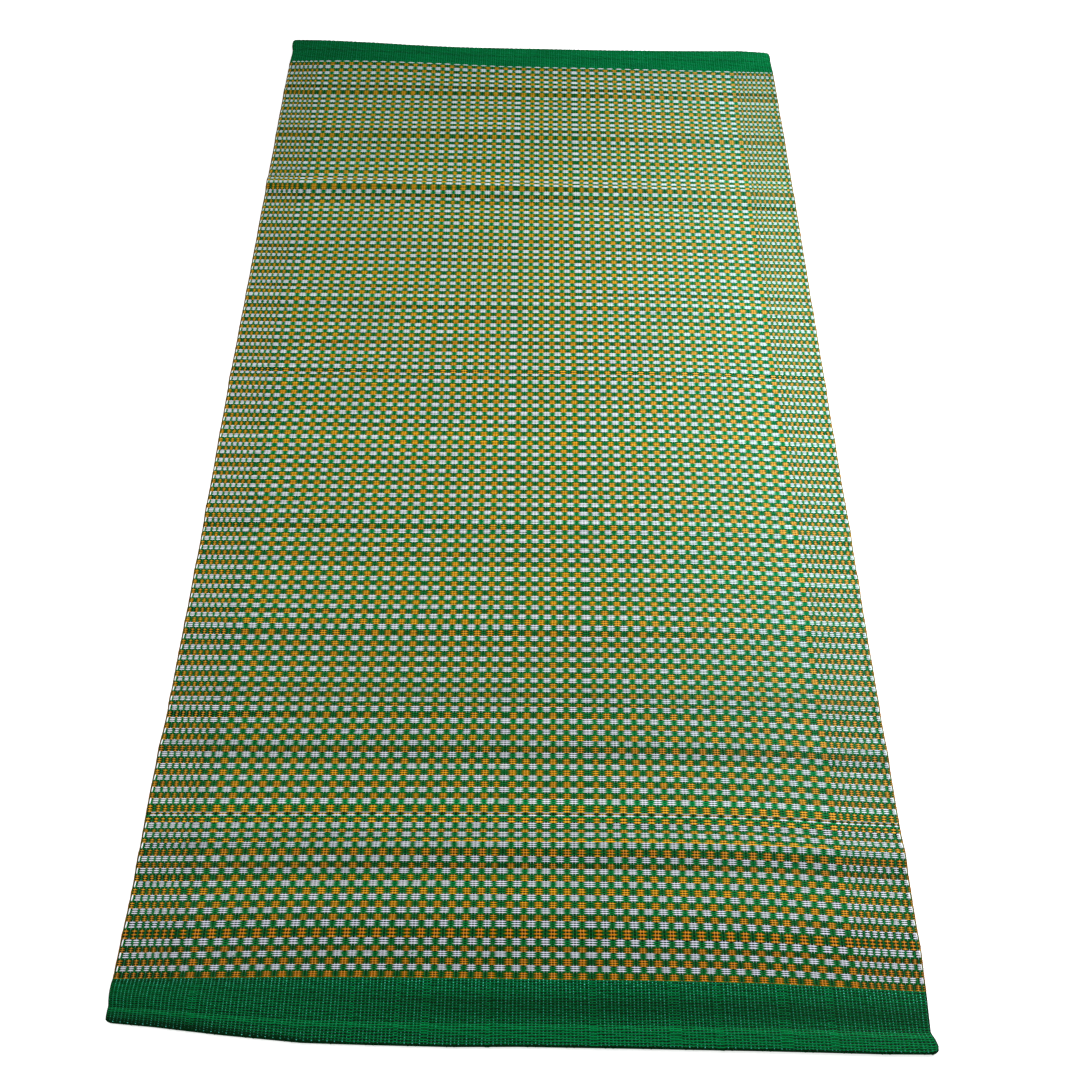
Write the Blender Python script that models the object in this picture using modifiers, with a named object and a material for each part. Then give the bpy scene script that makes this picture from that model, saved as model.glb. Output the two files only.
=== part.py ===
"""Plastic floor mat: one woven sheet of plastic straw with a folded hem at each end.

The mat lies flat on Z = 0. X runs across it, Y runs along it from the near hem to the far hem, and Z is
up. The origin is the middle of the underside. Sizes are in metres.
"""

from math import cos, pi, radians
from typing import NamedTuple

import bmesh
import bpy

# Driving dimensions
LENGTH = 1.788  # between the middles of the two hemmed ends, as the mat lies
CLOTH_THICKNESS = 0.0024  # two layers of flattened straw, woven together
HEM_FOLD_WIDTH = 0.018  # the turned-under strip at each end, sewn down
HEM_STEP_RUN = 0.002  # how far the step at the sewn line is spread
NEAR_HEM_WIDTH = 0.072  # plain green weave from the near end to the first orange row
FAR_HEM_WIDTH = 0.056
CORNER_RADIUS = 0.007
RIM_RADIUS = 0.0009  # rounding of the selvedges and of the folded ends
NEAR_HEM_ROWS = (0.036, 0.052, 0.068, 0.086)  # distances from the near end, over its waves
FAR_HEM_ROWS = (0.038, 0.056)  # distances from the far end
COLUMNS = 14  # cells across the mat
WIDEST_CELL = 0.060  # cells along the mat are no longer than this
NARROWEST_CELL = 0.004

STRAW_GREEN = (0.055, 0.300, 0.095, 1.0)
STRAW_ROUGHNESS = 0.42


class SideStation(NamedTuple):
    """Where the two long edges lie at one distance from the near end."""

    along: float
    left: float
    right: float


SIDES = (
    SideStation(along=0.000, left=-0.4520, right=0.4545),
    SideStation(along=0.012, left=-0.4510, right=0.4535),
    SideStation(along=0.026, left=-0.4503, right=0.4485),
    SideStation(along=0.064, left=-0.4525, right=0.4504),
    SideStation(along=0.114, left=-0.4510, right=0.4520),
    SideStation(along=0.200, left=-0.4494, right=0.4526),
    SideStation(along=0.300, left=-0.4511, right=0.4519),
    SideStation(along=0.400, left=-0.4480, right=0.4510),
    SideStation(along=0.700, left=-0.4475, right=0.4508),
    SideStation(along=0.900, left=-0.4496, right=0.4503),
    SideStation(along=1.350, left=-0.4498, right=0.4502),
    SideStation(along=1.560, left=-0.4502, right=0.4496),
    SideStation(along=1.640, left=-0.4504, right=0.4488),
    SideStation(along=1.734, left=-0.4492, right=0.4490),
    SideStation(along=1.758, left=-0.4472, right=0.4476),
    SideStation(along=1.768, left=-0.4492, right=0.4468),
    SideStation(along=1.788, left=-0.4500, right=0.4462),
)


class EndStation(NamedTuple):
    """How far each hemmed end lies inside (+) or outside (-) its middle at one share of the width."""

    across: float
    near: float
    far: float


ENDS = (
    EndStation(across=0.00, near=0.0216, far=-0.0020),
    EndStation(across=0.06, near=0.0173, far=0.0000),
    EndStation(across=0.14, near=0.0099, far=0.0045),
    EndStation(across=0.24, near=0.0025, far=0.0070),
    EndStation(across=0.32, near=0.0009, far=0.0055),
    EndStation(across=0.42, near=-0.0004, far=0.0023),
    EndStation(across=0.50, near=0.0005, far=0.0013),
    EndStation(across=0.66, near=-0.0005, far=0.0010),
    EndStation(across=0.80, near=-0.0017, far=-0.0020),
    EndStation(across=0.94, near=-0.0037, far=-0.0060),
    EndStation(across=1.00, near=-0.0035, far=-0.0020),
)


class Crease(NamedTuple):
    """A soft ridge across the mat, left where it was folded for packing.

    left, middle and right are its distances from the near end. The shares say how high it still stands
    at each long edge.
    """

    left: float
    middle: float
    right: float
    height: float
    half_width: float
    left_share: float
    right_share: float


CREASES = (
    Crease(0.122, 0.126, 0.121, 0.0014, 0.018, 0.6, 1.0),
    Crease(0.207, 0.226, 0.230, 0.0048, 0.026, 0.7, 0.8),
    Crease(0.352, 0.356, 0.360, 0.0030, 0.024, 0.8, 0.7),
    Crease(0.416, 0.422, 0.425, 0.0024, 0.022, 1.0, 0.6),
    Crease(0.532, 0.534, 0.540, 0.0018, 0.022, 1.0, 0.5),
    Crease(0.614, 0.612, 0.608, 0.0018, 0.022, 0.5, 1.0),
    Crease(0.712, 0.700, 0.690, 0.0026, 0.024, 1.0, 0.8),
    Crease(0.846, 0.850, 0.852, 0.0018, 0.022, 0.6, 1.0),
    Crease(0.956, 0.960, 0.958, 0.0022, 0.022, 1.0, 0.7),
    Crease(1.138, 1.126, 1.116, 0.0026, 0.024, 1.0, 0.9),
    Crease(1.398, 1.388, 1.378, 0.0046, 0.026, 1.0, 0.7),
    Crease(1.524, 1.528, 1.526, 0.0018, 0.022, 1.0, 0.6),
    Crease(1.648, 1.646, 1.642, 0.0028, 0.024, 0.8, 0.9),
)


class Lift(NamedTuple):
    """A place where the mat stands off the floor, highest at (across, along)."""

    across: float
    along: float
    height: float
    across_reach: float
    along_reach: float


LIFTS = (
    Lift(across=-0.4535, along=0.042, height=0.0070, across_reach=0.250, along_reach=0.036),
    Lift(across=-0.3300, along=1.788, height=0.0085, across_reach=0.300, along_reach=0.150),
    Lift(across=0.0000, along=0.068, height=0.0016, across_reach=0.700, along_reach=0.022),
)


def remove_all_objects():
    """Empty the file, so that the mat is all it holds."""
    for old in list(bpy.data.objects):
        bpy.data.objects.remove(old, do_unlink=True)


def bump(distance, reach):
    """Return a smooth bump: 1 at no distance, 0 from reach on."""
    share = min(abs(distance) / reach, 1.0)
    return 0.5 + 0.5 * cos(pi * share)


def read_table(rows, key, column, at):
    """Return a table's column at a value of its key, along straight lines between rows."""
    for low, high in zip(rows, rows[1:]):
        low_key = getattr(low, key)
        high_key = getattr(high, key)
        if at <= high_key:
            share = max(at - low_key, 0.0) / (high_key - low_key)
            return getattr(low, column) * (1.0 - share) + getattr(high, column) * share
    return getattr(rows[-1], column)


def through_three(left, middle, right, across):
    """Return the parabola through a value at each long edge and one at the middle line."""
    t = 2.0 * across - 1.0
    return middle + 0.5 * (right - left) * t + (0.5 * (left + right) - middle) * t * t


class Row(NamedTuple):
    """A row of the grid: its distance along at the middle line, and the crease that it belongs to.

    offset is its distance from that crease's crest.
    """

    along: float
    crease: Crease | None = None
    offset: float = 0.0


def crease_rows():
    """Return five rows for each crease: its two feet, its two slopes and its crest."""
    rows = []
    for crease in CREASES:
        for step in (-1.0, -0.5, 0.0, 0.5, 1.0):
            offset = step * crease.half_width
            rows.append(Row(crease.middle + offset, crease, offset))
    return rows


def hem_rows():
    """Return the rows of both hems, with two at each sewn line for the step in thickness."""
    fold = (0.0, 0.5 * HEM_FOLD_WIDTH, HEM_FOLD_WIDTH, HEM_FOLD_WIDTH + HEM_STEP_RUN)
    near = [Row(along) for along in fold + NEAR_HEM_ROWS]
    far = [Row(LENGTH - along) for along in fold + FAR_HEM_ROWS]
    return near + far


def grid_rows():
    """Return all rows from the near end to the far end, with none too near or too far apart."""
    rows = []
    for row in sorted(crease_rows() + hem_rows(), key=lambda row: row.along):
        if not rows:
            rows.append(row)
            continue
        last = rows[-1].along
        gap = row.along - last
        if gap < NARROWEST_CELL and row.offset != 0.0:
            continue
        cells = int(gap / WIDEST_CELL) + 1
        for number in range(1, cells):
            rows.append(Row(last + gap * number / cells))
        rows.append(row)
    return rows


def distance_along(row, across):
    """Return a row's distance from the near end at a share of the width."""
    if row.crease is None:
        return row.along
    return through_three(row.crease.left, row.crease.middle, row.crease.right, across) + row.offset


def height_at(across, along, x):
    """Return how high the underside stands over the floor."""
    height = 0.0
    for crease in CREASES:
        middle = through_three(crease.left, crease.middle, crease.right, across)
        share = through_three(crease.left_share, 1.0, crease.right_share, across)
        height += share * crease.height * bump(along - middle, crease.half_width)
    for lift in LIFTS:
        beside = bump(x - lift.across, lift.across_reach)
        height += lift.height * beside * bump(along - lift.along, lift.along_reach)
    return height


def underside_point(across, along):
    """Return the point of the underside at a share of the width and a distance along."""
    x = read_table(SIDES, "along", "left", along) * (1.0 - across)
    x += read_table(SIDES, "along", "right", along) * across
    near_in = read_table(ENDS, "across", "near", across)
    far_in = read_table(ENDS, "across", "far", across)
    near_share = max(1.0 - along / NEAR_HEM_WIDTH, 0.0)
    far_share = max(1.0 - (LENGTH - along) / FAR_HEM_WIDTH, 0.0)
    y = along + near_in * near_share - far_in * far_share - 0.5 * LENGTH
    return x, y, height_at(across, along, x)


def in_hem_fold(along):
    """Return whether the cloth is doubled at a distance from the near end."""
    return along <= HEM_FOLD_WIDTH + 1e-6 or along >= LENGTH - HEM_FOLD_WIDTH - 1e-6


def make_cloth_mesh(name):
    """Return the underside's mesh, with its doubled hems weighted 1 in the first vertex group."""
    rows = grid_rows()
    bm = bmesh.new()
    bmesh.ops.create_grid(bm, x_segments=COLUMNS, y_segments=len(rows) - 1, size=1.0)
    weights = bm.verts.layers.deform.verify()
    corners = []
    for vertex in bm.verts:
        across = 0.5 * (vertex.co.x + 1.0)
        number = round(0.5 * (vertex.co.y + 1.0) * (len(rows) - 1))
        along = distance_along(rows[number], across)
        if across in (0.0, 1.0) and number in (0, len(rows) - 1):
            corners.append(vertex)
        if in_hem_fold(along):
            vertex[weights][0] = 1.0
        vertex.co = underside_point(across, along)
    bmesh.ops.bevel(
        bm,
        geom=corners,
        offset=CORNER_RADIUS,
        offset_type="OFFSET",
        segments=3,
        profile=0.5,
        affect="VERTICES",
    )
    mesh = bpy.data.meshes.new(name)
    bm.to_mesh(mesh)
    bm.free()
    return mesh


def add_thickness(cloth):
    """Thicken the sheet upwards, to twice the cloth in the doubled hems, and round its rim."""
    cloth.vertex_groups.new(name="doubled_hem")
    solidify = cloth.modifiers.new("cloth thickness", "SOLIDIFY")
    solidify.thickness = 2.0 * CLOTH_THICKNESS
    solidify.offset = 1.0
    solidify.vertex_group = "doubled_hem"
    solidify.thickness_vertex_group = 0.5
    bevel = cloth.modifiers.new("rounded rim", "BEVEL")
    bevel.width = RIM_RADIUS
    bevel.segments = 2
    bevel.limit_method = "ANGLE"
    bevel.angle_limit = radians(60.0)


def make_material():
    """Return the plain green plastic of the straws."""
    material = bpy.data.materials.new("straw green")
    material.use_nodes = True
    shader = material.node_tree.nodes["Principled BSDF"]
    shader.inputs["Base Color"].default_value = STRAW_GREEN
    shader.inputs["Roughness"].default_value = STRAW_ROUGHNESS
    shader.inputs["Metallic"].default_value = 0.0
    return material


def centre_on_origin(cloth):
    """Move the mesh so that the middle of its finished box's bottom is the origin."""
    finished = cloth.evaluated_get(bpy.context.evaluated_depsgraph_get())
    corners = [tuple(corner) for corner in finished.bound_box]
    low = [min(corner[axis] for corner in corners) for axis in range(3)]
    high = [max(corner[axis] for corner in corners) for axis in range(3)]
    for vertex in cloth.data.vertices:
        vertex.co.x -= 0.5 * (low[0] + high[0])
        vertex.co.y -= 0.5 * (low[1] + high[1])
        vertex.co.z -= low[2]


def make_mat():
    """Build the mat as one solid in its own collection."""
    collection = bpy.data.collections.new("plastic floor mat")
    bpy.context.scene.collection.children.link(collection)
    cloth = bpy.data.objects.new("woven_mat", make_cloth_mesh("woven_mat"))
    cloth.data.materials.append(make_material())
    collection.objects.link(cloth)
    add_thickness(cloth)
    cloth.data.shade_smooth()
    cloth.data.set_sharp_from_angle(angle=radians(40.0))
    centre_on_origin(cloth)
    return cloth


def main():
    """Empty the file and build the mat."""
    remove_all_objects()
    make_mat()


main()
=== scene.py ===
"""Looks of the woven plastic floor mat, laid flat on a pale floor.

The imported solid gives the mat's size and place. Everything seen is built here on that solid's own form:
a thin ground cloth, every straw of the checked field, the thin warp threads, the plain hems and the two
selvedges. Lengths are in metres. Plan places are measured on the flat mat: x across from the left
selvedge, y along from the near end.
"""

import logging
import math
from dataclasses import dataclass, field
from enum import Enum

import bpy
import numpy as np
from mathutils import Matrix, Vector


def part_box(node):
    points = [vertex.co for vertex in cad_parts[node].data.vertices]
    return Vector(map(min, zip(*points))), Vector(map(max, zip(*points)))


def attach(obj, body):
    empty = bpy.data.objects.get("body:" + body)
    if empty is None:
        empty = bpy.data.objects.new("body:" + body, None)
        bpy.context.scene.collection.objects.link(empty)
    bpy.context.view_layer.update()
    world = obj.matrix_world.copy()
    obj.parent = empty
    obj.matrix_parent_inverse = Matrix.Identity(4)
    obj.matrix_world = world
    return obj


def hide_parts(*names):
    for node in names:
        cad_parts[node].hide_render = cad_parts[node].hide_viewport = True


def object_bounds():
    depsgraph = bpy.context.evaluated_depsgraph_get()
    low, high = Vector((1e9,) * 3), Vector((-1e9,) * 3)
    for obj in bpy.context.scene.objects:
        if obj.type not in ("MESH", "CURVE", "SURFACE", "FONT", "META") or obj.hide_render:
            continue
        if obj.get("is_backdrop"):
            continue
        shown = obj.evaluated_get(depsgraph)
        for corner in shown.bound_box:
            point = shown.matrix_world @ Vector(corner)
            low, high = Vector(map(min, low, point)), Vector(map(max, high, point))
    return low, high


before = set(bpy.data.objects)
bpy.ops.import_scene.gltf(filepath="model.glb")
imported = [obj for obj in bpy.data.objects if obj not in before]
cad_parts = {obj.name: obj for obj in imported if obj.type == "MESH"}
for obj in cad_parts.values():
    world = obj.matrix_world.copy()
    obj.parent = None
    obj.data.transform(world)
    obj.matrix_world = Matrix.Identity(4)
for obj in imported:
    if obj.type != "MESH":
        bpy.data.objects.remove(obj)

CAD_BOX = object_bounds()
LOG = logging.getLogger("floor_mat")
NODE = "woven_mat"
MM = 0.001

PLAN_WIDTH = 900 * MM
MAT_LENGTH = 1788 * MM
FIELD_START = 73 * MM
FIELD_END = 1732 * MM
CLOTH_THICKNESS = 1.5 * MM
FOLD_WIDTH = 18 * MM
FOLD_RUN = 8 * MM
FOLD_RISE = 2.2 * MM
END_RADIUS = 1.9 * MM
CORNER_RADIUS = 8 * MM
# How far the two warp ends under one block lie from its middle
END_SPREAD = 1.7 * MM
# Frame x of the left selvedge before the shift, were it straight
STRAIGHT_LEFT = -0.452
# How far the slant of each end reaches into the mat
NEAR_HEM = 0.072
FAR_HEM = 0.056

# Mat's sides: distance along, left selvedge, right selvedge
SIDES = (
    (0.000, -0.4520, 0.4545),
    (0.012, -0.4510, 0.4535),
    (0.026, -0.4503, 0.4485),
    (0.064, -0.4525, 0.4504),
    (0.114, -0.4510, 0.4520),
    (0.200, -0.4494, 0.4526),
    (0.300, -0.4511, 0.4519),
    (0.400, -0.4480, 0.4510),
    (0.700, -0.4475, 0.4508),
    (0.900, -0.4496, 0.4503),
    (1.350, -0.4498, 0.4502),
    (1.560, -0.4502, 0.4496),
    (1.640, -0.4504, 0.4488),
    (1.734, -0.4492, 0.4490),
    (1.758, -0.4472, 0.4476),
    (1.768, -0.4492, 0.4468),
    (1.788, -0.4500, 0.4462),
)
# Mat's ends: share across, how far the near end and the far end lie inside the nominal length
ENDS = (
    (0.00, 0.0216, -0.0020),
    (0.06, 0.0173, 0.0000),
    (0.14, 0.0099, 0.0045),
    (0.24, 0.0025, 0.0070),
    (0.32, 0.0009, 0.0055),
    (0.42, -0.0004, 0.0023),
    (0.50, 0.0005, 0.0013),
    (0.66, -0.0005, 0.0010),
    (0.80, -0.0017, -0.0020),
    (0.94, -0.0037, -0.0060),
    (1.00, -0.0035, -0.0020),
)
# Creases: distance along at the left, middle and right, height, half width, share of height at left and right
CREASES = (
    (0.122, 0.126, 0.121, 0.0014, 0.018, 0.6, 1.0),
    (0.207, 0.226, 0.230, 0.0048, 0.026, 0.7, 0.8),
    (0.352, 0.356, 0.360, 0.0030, 0.024, 0.8, 0.7),
    (0.416, 0.422, 0.425, 0.0024, 0.022, 1.0, 0.6),
    (0.532, 0.534, 0.540, 0.0018, 0.022, 1.0, 0.5),
    (0.614, 0.612, 0.608, 0.0018, 0.022, 0.5, 1.0),
    (0.712, 0.700, 0.690, 0.0026, 0.024, 1.0, 0.8),
    (0.846, 0.850, 0.852, 0.0018, 0.022, 0.6, 1.0),
    (0.956, 0.960, 0.958, 0.0022, 0.022, 1.0, 0.7),
    (1.138, 1.126, 1.116, 0.0026, 0.024, 1.0, 0.9),
    (1.398, 1.388, 1.378, 0.0046, 0.026, 1.0, 0.7),
    (1.524, 1.528, 1.526, 0.0018, 0.022, 1.0, 0.6),
    (1.648, 1.646, 1.642, 0.0028, 0.024, 0.8, 0.9),
)
# Lifted places: x in the frame, distance along, height, reach across, reach along
LIFTS = (
    (-0.4535, 0.042, 0.0070, 0.250, 0.036),
    (-0.3300, 1.788, 0.0085, 0.300, 0.150),
    (0.0000, 0.068, 0.0016, 0.700, 0.022),
)
# How far the rows bend away from straight: distance along, then at the five places of BOW_PLACES
BOW_PLACES = (0.020, 0.235, 0.450, 0.708, 0.880)
ROW_BOW = (
    (0.000, 0.0000, 0.0000, 0.0, 0.0000, 0.0000),
    (0.060, -0.0030, 0.0002, -0.0006, -0.0023, -0.0086),
    (0.090, -0.0063, -0.0014, -0.0006, -0.0025, -0.0097),
    (0.276, -0.0058, -0.0029, -0.0005, -0.0008, -0.0079),
    (0.546, -0.0037, -0.0025, -0.0003, 0.0002, -0.0043),
    (0.916, -0.0038, -0.0024, -0.0001, 0.0015, -0.0036),
    (1.116, -0.0050, -0.0031, 0.0000, 0.0016, -0.0020),
    (1.316, -0.0053, -0.0005, -0.0001, 0.0010, -0.0012),
    (1.466, -0.0064, -0.0023, -0.0003, -0.0002, -0.0014),
    (1.606, -0.0077, -0.0034, -0.0004, -0.0006, -0.0037),
    (1.706, -0.0064, -0.0002, -0.0004, -0.0013, -0.0025),
    (1.788, 0.0000, 0.0000, 0.0, 0.0000, 0.0000),
)
# How far the columns lean aside: distance along, shift to the right
COLUMN_SWAY = (
    (0.15, -0.0006),
    (0.37, 0.0002),
    (0.57, 0.0009),
    (0.78, 0.0002),
    (1.00, -0.0005),
    (1.22, -0.0009),
    (1.52, -0.0016),
)
# Orange blocks across the mat: first middle, number, spacing, width, warp ends under each
COLUMN_RUNS = (
    (0.0042, 1, 0.0000, 0.0056, 1),
    (0.0143, 6, 0.0086, 0.0046, 1),
    (0.0699, 1, 0.0000, 0.0054, 1),
    (0.0851, 14, 0.01686, 0.0086, 2),
    (0.3217, 1, 0.0000, 0.0062, 1),
    (0.3377, 5, 0.01659, 0.0086, 2),
    (0.4188, 1, 0.0000, 0.0068, 1),
    (0.4374, 6, 0.0166, 0.0086, 2),
    (0.5394, 1, 0.0000, 0.0068, 1),
    (0.5551, 11, 0.01678, 0.0086, 2),
    (0.7404, 1, 0.0000, 0.0092, 2),
    (0.7554, 5, 0.01720, 0.0088, 2),
    (0.8343, 7, 0.00825, 0.0046, 1),
    (0.8922, 1, 0.0000, 0.0050, 1),
    (0.8985, 1, 0.0000, 0.0020, 1),
)
# White bands: number from the near end, distance along; bands between two of these are spaced evenly
WHITE_BANDS = (
    (1, 0.0850),
    (3, 0.1142),
    (4, 0.1345),
    (8, 0.1965),
    (9, 0.2105),
    (10, 0.2275),
    (13, 0.2650),
    (14, 0.2830),
    (18, 0.3430),
    (22, 0.4062),
    (23, 0.4185),
    (27, 0.4780),
    (32, 0.5570),
    (35, 0.6010),
    (39, 0.6640),
    (44, 0.7405),
    (48, 0.8000),
    (51, 0.8445),
    (56, 0.9235),
    (60, 0.9834),
    (62, 1.0118),
    (70, 1.1325),
    (78, 1.2540),
    (80, 1.2858),
    (81, 1.3030),
    (83, 1.3326),
    (84, 1.3460),
    (86, 1.3782),
    (87, 1.3990),
    (89, 1.4225),
    (91, 1.4540),
    (92, 1.4720),
    (95, 1.5175),
    (96, 1.5375),
    (97, 1.5540),
    (98, 1.5665),
    (100, 1.5951),
    (101, 1.6120),
    (103, 1.6375),
    (104, 1.6572),
    (105, 1.6745),
    (107, 1.7020),
    (108, 1.7180),
    (109, 1.7320),
)
# Uneven bands: pair number, orange picks, white picks, and how much darker and thinner the orange and the
# white picks are, or lighter and thicker where it is below 0. The darker or lighter tone is partly the
# straws' own and partly painted shade and light beside the creases
UNEVEN_BANDS = (
    (4, 3, 3, 0.24, 0.12),
    (9, 3, 3, 0.24, 0.10),
    (10, 3, 3, 0.32, 0.24),
    (11, 2, 3, 0.00, 0.10),
    (12, 2, 3, 0.05, 0.00),
    (13, 2, 1, -0.08, -0.20),
    (14, 3, 3, -0.10, -0.16),
    (18, 3, 3, 0.00, 0.14),
    (19, 3, 3, 0.36, 0.34),
    (23, 2, 3, 0.10, 0.14),
    (24, 3, 3, 0.26, 0.22),
    (59, 3, 2, 0.10, 0.05),
    (60, 2, 3, 0.05, 0.00),
    (78, 3, 3, 0.10, 0.05),
    (86, 4, 3, 0.24, 0.05),
    (87, 4, 3, 0.20, 0.00),
    (96, 4, 3, 0.20, 0.05),
    (104, 4, 3, 0.18, 0.00),
    (105, 4, 3, 0.12, 0.00),
    (109, 2, 1, 0.00, 0.00),
)
# Pair that the two single picks of the seam follow
SEAM_PAIR = 13
# Pair whose orange picks run together, and between which places across
JOINED_PAIR = 11
JOINED_RUN = (0.36, 0.82)


class Straw(Enum):
    """The mat's straws and threads, each with a finish of its own."""

    ORANGE = "orange straw"
    WHITE = "white straw"
    LEAF = "green straw of the white bands"
    FERN = "green straw of the orange bands"
    LINE = "green line straw"
    HEM = "green straw of the hems"
    CORD = "rust cord of the selvedges"
    WARP = "warp thread"
    GROUND = "ground between the straws"
    UNDER_ORANGE = "underside orange"
    UNDER_WHITE = "underside white"
    UNDER_GREEN = "underside green"


class BandKind(Enum):
    """The rows that follow each other along the field."""

    ORANGE = "orange"
    LINE = "line"
    WHITE = "white"
    SEAM = "seam"
    WARM_PICK = "one warm pick"
    PALE_PICK = "one pale pick"


Colour = tuple[int, int, int]
Finishes = dict[Straw, bpy.types.Material]
Socket = bpy.types.NodeSocket


def smooth_step(value: np.ndarray | float) -> np.ndarray:
    """Ease a value from 0 to 1, flat at both ends."""
    held = np.clip(value, 0.0, 1.0)
    return held * held * (3.0 - 2.0 * held)


def soft_bump(distance: np.ndarray | float, reach: float) -> np.ndarray:
    """A soft hill of height 1 that ends at the reach."""
    return 0.5 + 0.5 * np.cos(np.pi * np.minimum(np.abs(distance) / reach, 1.0))


def wave(turns: np.ndarray) -> np.ndarray:
    """A sine wave over whole turns."""
    return np.sin(2 * np.pi * turns)


def named_columns(table: tuple[tuple[float, ...], ...]) -> list[np.ndarray]:
    """A table's columns as arrays."""
    return [np.array(part) for part in zip(*table)]


def linear_colour(red: int, green: int, blue: int) -> tuple[float, float, float, float]:
    """Turn a screen colour into a shader's linear colour.

    Args:
        red, green, blue: the colour's parts, 0 to 255.

    Returns:
        The colour with alpha 1.
    """
    parts = []
    for part in (red, green, blue):
        share = part / 255
        parts.append(share / 12.92 if share <= 0.04045 else ((share + 0.055) / 1.055) ** 2.4)
    return (*parts, 1.0)


@dataclass(frozen=True)
class Column:
    """One block across the mat: its edges, whether orange shows there, and its warp ends."""

    left: float
    right: float
    orange: bool
    ends: int

    @property
    def middle(self) -> float:
        """The block's middle."""
        return (self.left + self.right) / 2

    @property
    def width(self) -> float:
        """The block's width."""
        return self.right - self.left


@dataclass(frozen=True)
class Band:
    """One row along the mat: its edges, its picks, and how dark it is."""

    kind: BandKind
    start: float
    end: float
    picks: int
    # How dark it is: its own tone and weave faults, plus painted shade at the mat's ends and painted shade
    # and light beside creases
    shade: float
    # Places across between which the picks run together
    joined: tuple[float, float] = (0.0, 0.0)
    # How much thinner its straws are, so that more of the shaded cloth shows
    thin: float = 0.0

    @property
    def middle(self) -> float:
        """The band's middle."""
        return (self.start + self.end) / 2


@dataclass
class WeavePlan:
    """Where the blocks and the bands of the field lie."""

    line_height: float = 1.5 * MM
    seam_height: float = 0.4 * MM
    extra_height: float = 1.45 * MM
    white_pick: float = 2.32 * MM
    orange_pick: float = 2.25 * MM
    # White blocks wider than this have two warp ends where the orange beside them has
    narrow: float = 6 * MM
    jitter: float = 0.45 * MM
    shade_spread: float = 0.11
    # Painted shade: how much darker the straw is made at the near end and toward the far end
    near_painted_shade: float = 0.44
    far_painted_shade: float = 0.12
    # How much more of that the orange straw takes
    orange_painted_shade: float = 1.25
    seed: int = 11
    columns: list[Column] = field(default_factory=list)
    bands: list[Band] = field(default_factory=list)

    def __post_init__(self) -> None:
        """Lay out the columns and the bands."""
        self.columns = self._columns()
        self.bands = self._bands()

    def _columns(self) -> list[Column]:
        """Lay out the orange blocks of COLUMN_RUNS and the white blocks between them.

        Returns:
            All blocks from left to right.
        """
        columns = []
        for first, number, spacing, width, ends in COLUMN_RUNS:
            for step in range(number):
                middle = first + step * spacing
                left = middle - width / 2
                if columns:
                    last = columns[-1]
                    gap_ends = max(last.ends, ends) if left - last.right > self.narrow else 1
                    columns.append(Column(last.right, left, False, gap_ends))
                columns.append(Column(left, middle + width / 2, True, ends))
        return columns

    def _white_middles(self) -> np.ndarray:
        """Place the white bands of WHITE_BANDS and those between them, which lie a little unevenly.

        Returns:
            Distance along of every white band's middle.
        """
        numbers, places = named_columns(WHITE_BANDS)
        every = np.arange(1, numbers[-1] + 1)
        wander = np.random.default_rng(self.seed).normal(0.0, self.jitter, len(every))
        wander[np.isin(every, numbers)] = 0.0
        return np.interp(every, numbers, places) + np.clip(wander, -2 * self.jitter, 2 * self.jitter)

    def _white_halves(self, middles: np.ndarray, rows: list[tuple[float, ...]]) -> np.ndarray:
        """Stretch the picks of each white band so that the bands fill their spacing.

        Args:
            middles: distance along of each white band.
            rows: each pair's orange picks and white picks, and how dark they are.

        Returns:
            Half of each white band's height.
        """
        whites = np.array([row[1] for row in rows]) * self.white_pick
        oranges = np.array([row[0] for row in rows]) * self.orange_pick
        seams = np.zeros(len(rows))
        seams[SEAM_PAIR] = 2 * self.extra_height
        nominal = (whites[:-1] + whites[1:]) / 2 + oranges[1:] + self.line_height + seams[1:]
        stretch = np.diff(middles) / nominal
        around = (np.append(stretch[0], stretch) + np.append(stretch, stretch[-1])) / 2
        return whites / 2 * around

    def _bands(self) -> list[Band]:
        """Lay out orange picks, the thin green line and white picks, over and over.

        Returns:
            All bands from the near end.
        """
        middles = self._white_middles()
        uneven = {row[0]: row[1:] for row in UNEVEN_BANDS}
        rows = [uneven.get(pair, (3, 3, 0.0, 0.0)) for pair in range(1, len(middles) + 1)]
        halves = self._white_halves(middles, rows)
        draws = np.random.default_rng(self.seed + 1).normal(0.0, self.shade_spread, (len(middles), 2))
        draws *= (0.3 + 0.7 * smooth_step((middles - 0.15) / 0.08))[:, None]
        # Painted shade that darkens the bands at the near end and toward the far end
        dull = self.near_painted_shade * smooth_step((0.17 - middles) / 0.05)
        dull = dull + self.far_painted_shade * smooth_step((middles - 1.48) / 0.22)
        reached = FIELD_START + self.seam_height
        bands = [Band(BandKind.SEAM, FIELD_START, reached, 1, 0.0)]
        for index, (middle, half, row) in enumerate(zip(middles, halves, rows)):
            orange_picks, white_picks, orange_dark, white_dark = row
            joined = JOINED_RUN if index + 1 == JOINED_PAIR else (0.0, 0.0)
            start = middle - half
            line_start = start - self.line_height
            shade = draws[index, 0] + orange_dark + self.orange_painted_shade * dull[index]
            thin = orange_dark / 2
            bands.append(Band(BandKind.ORANGE, reached, line_start, orange_picks, shade, joined, thin))
            bands.append(Band(BandKind.LINE, line_start, start, 1, 0.0))
            shade = draws[index, 1] + white_dark + dull[index]
            reached = middle + half
            bands.append(Band(BandKind.WHITE, start, reached, white_picks, shade, thin=white_dark / 2))
            if index + 1 == SEAM_PAIR:
                for kind in (BandKind.WARM_PICK, BandKind.PALE_PICK):
                    bands.append(Band(kind, reached, reached + self.extra_height, 1, 0.0))
                    reached += self.extra_height
        return bands


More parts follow.
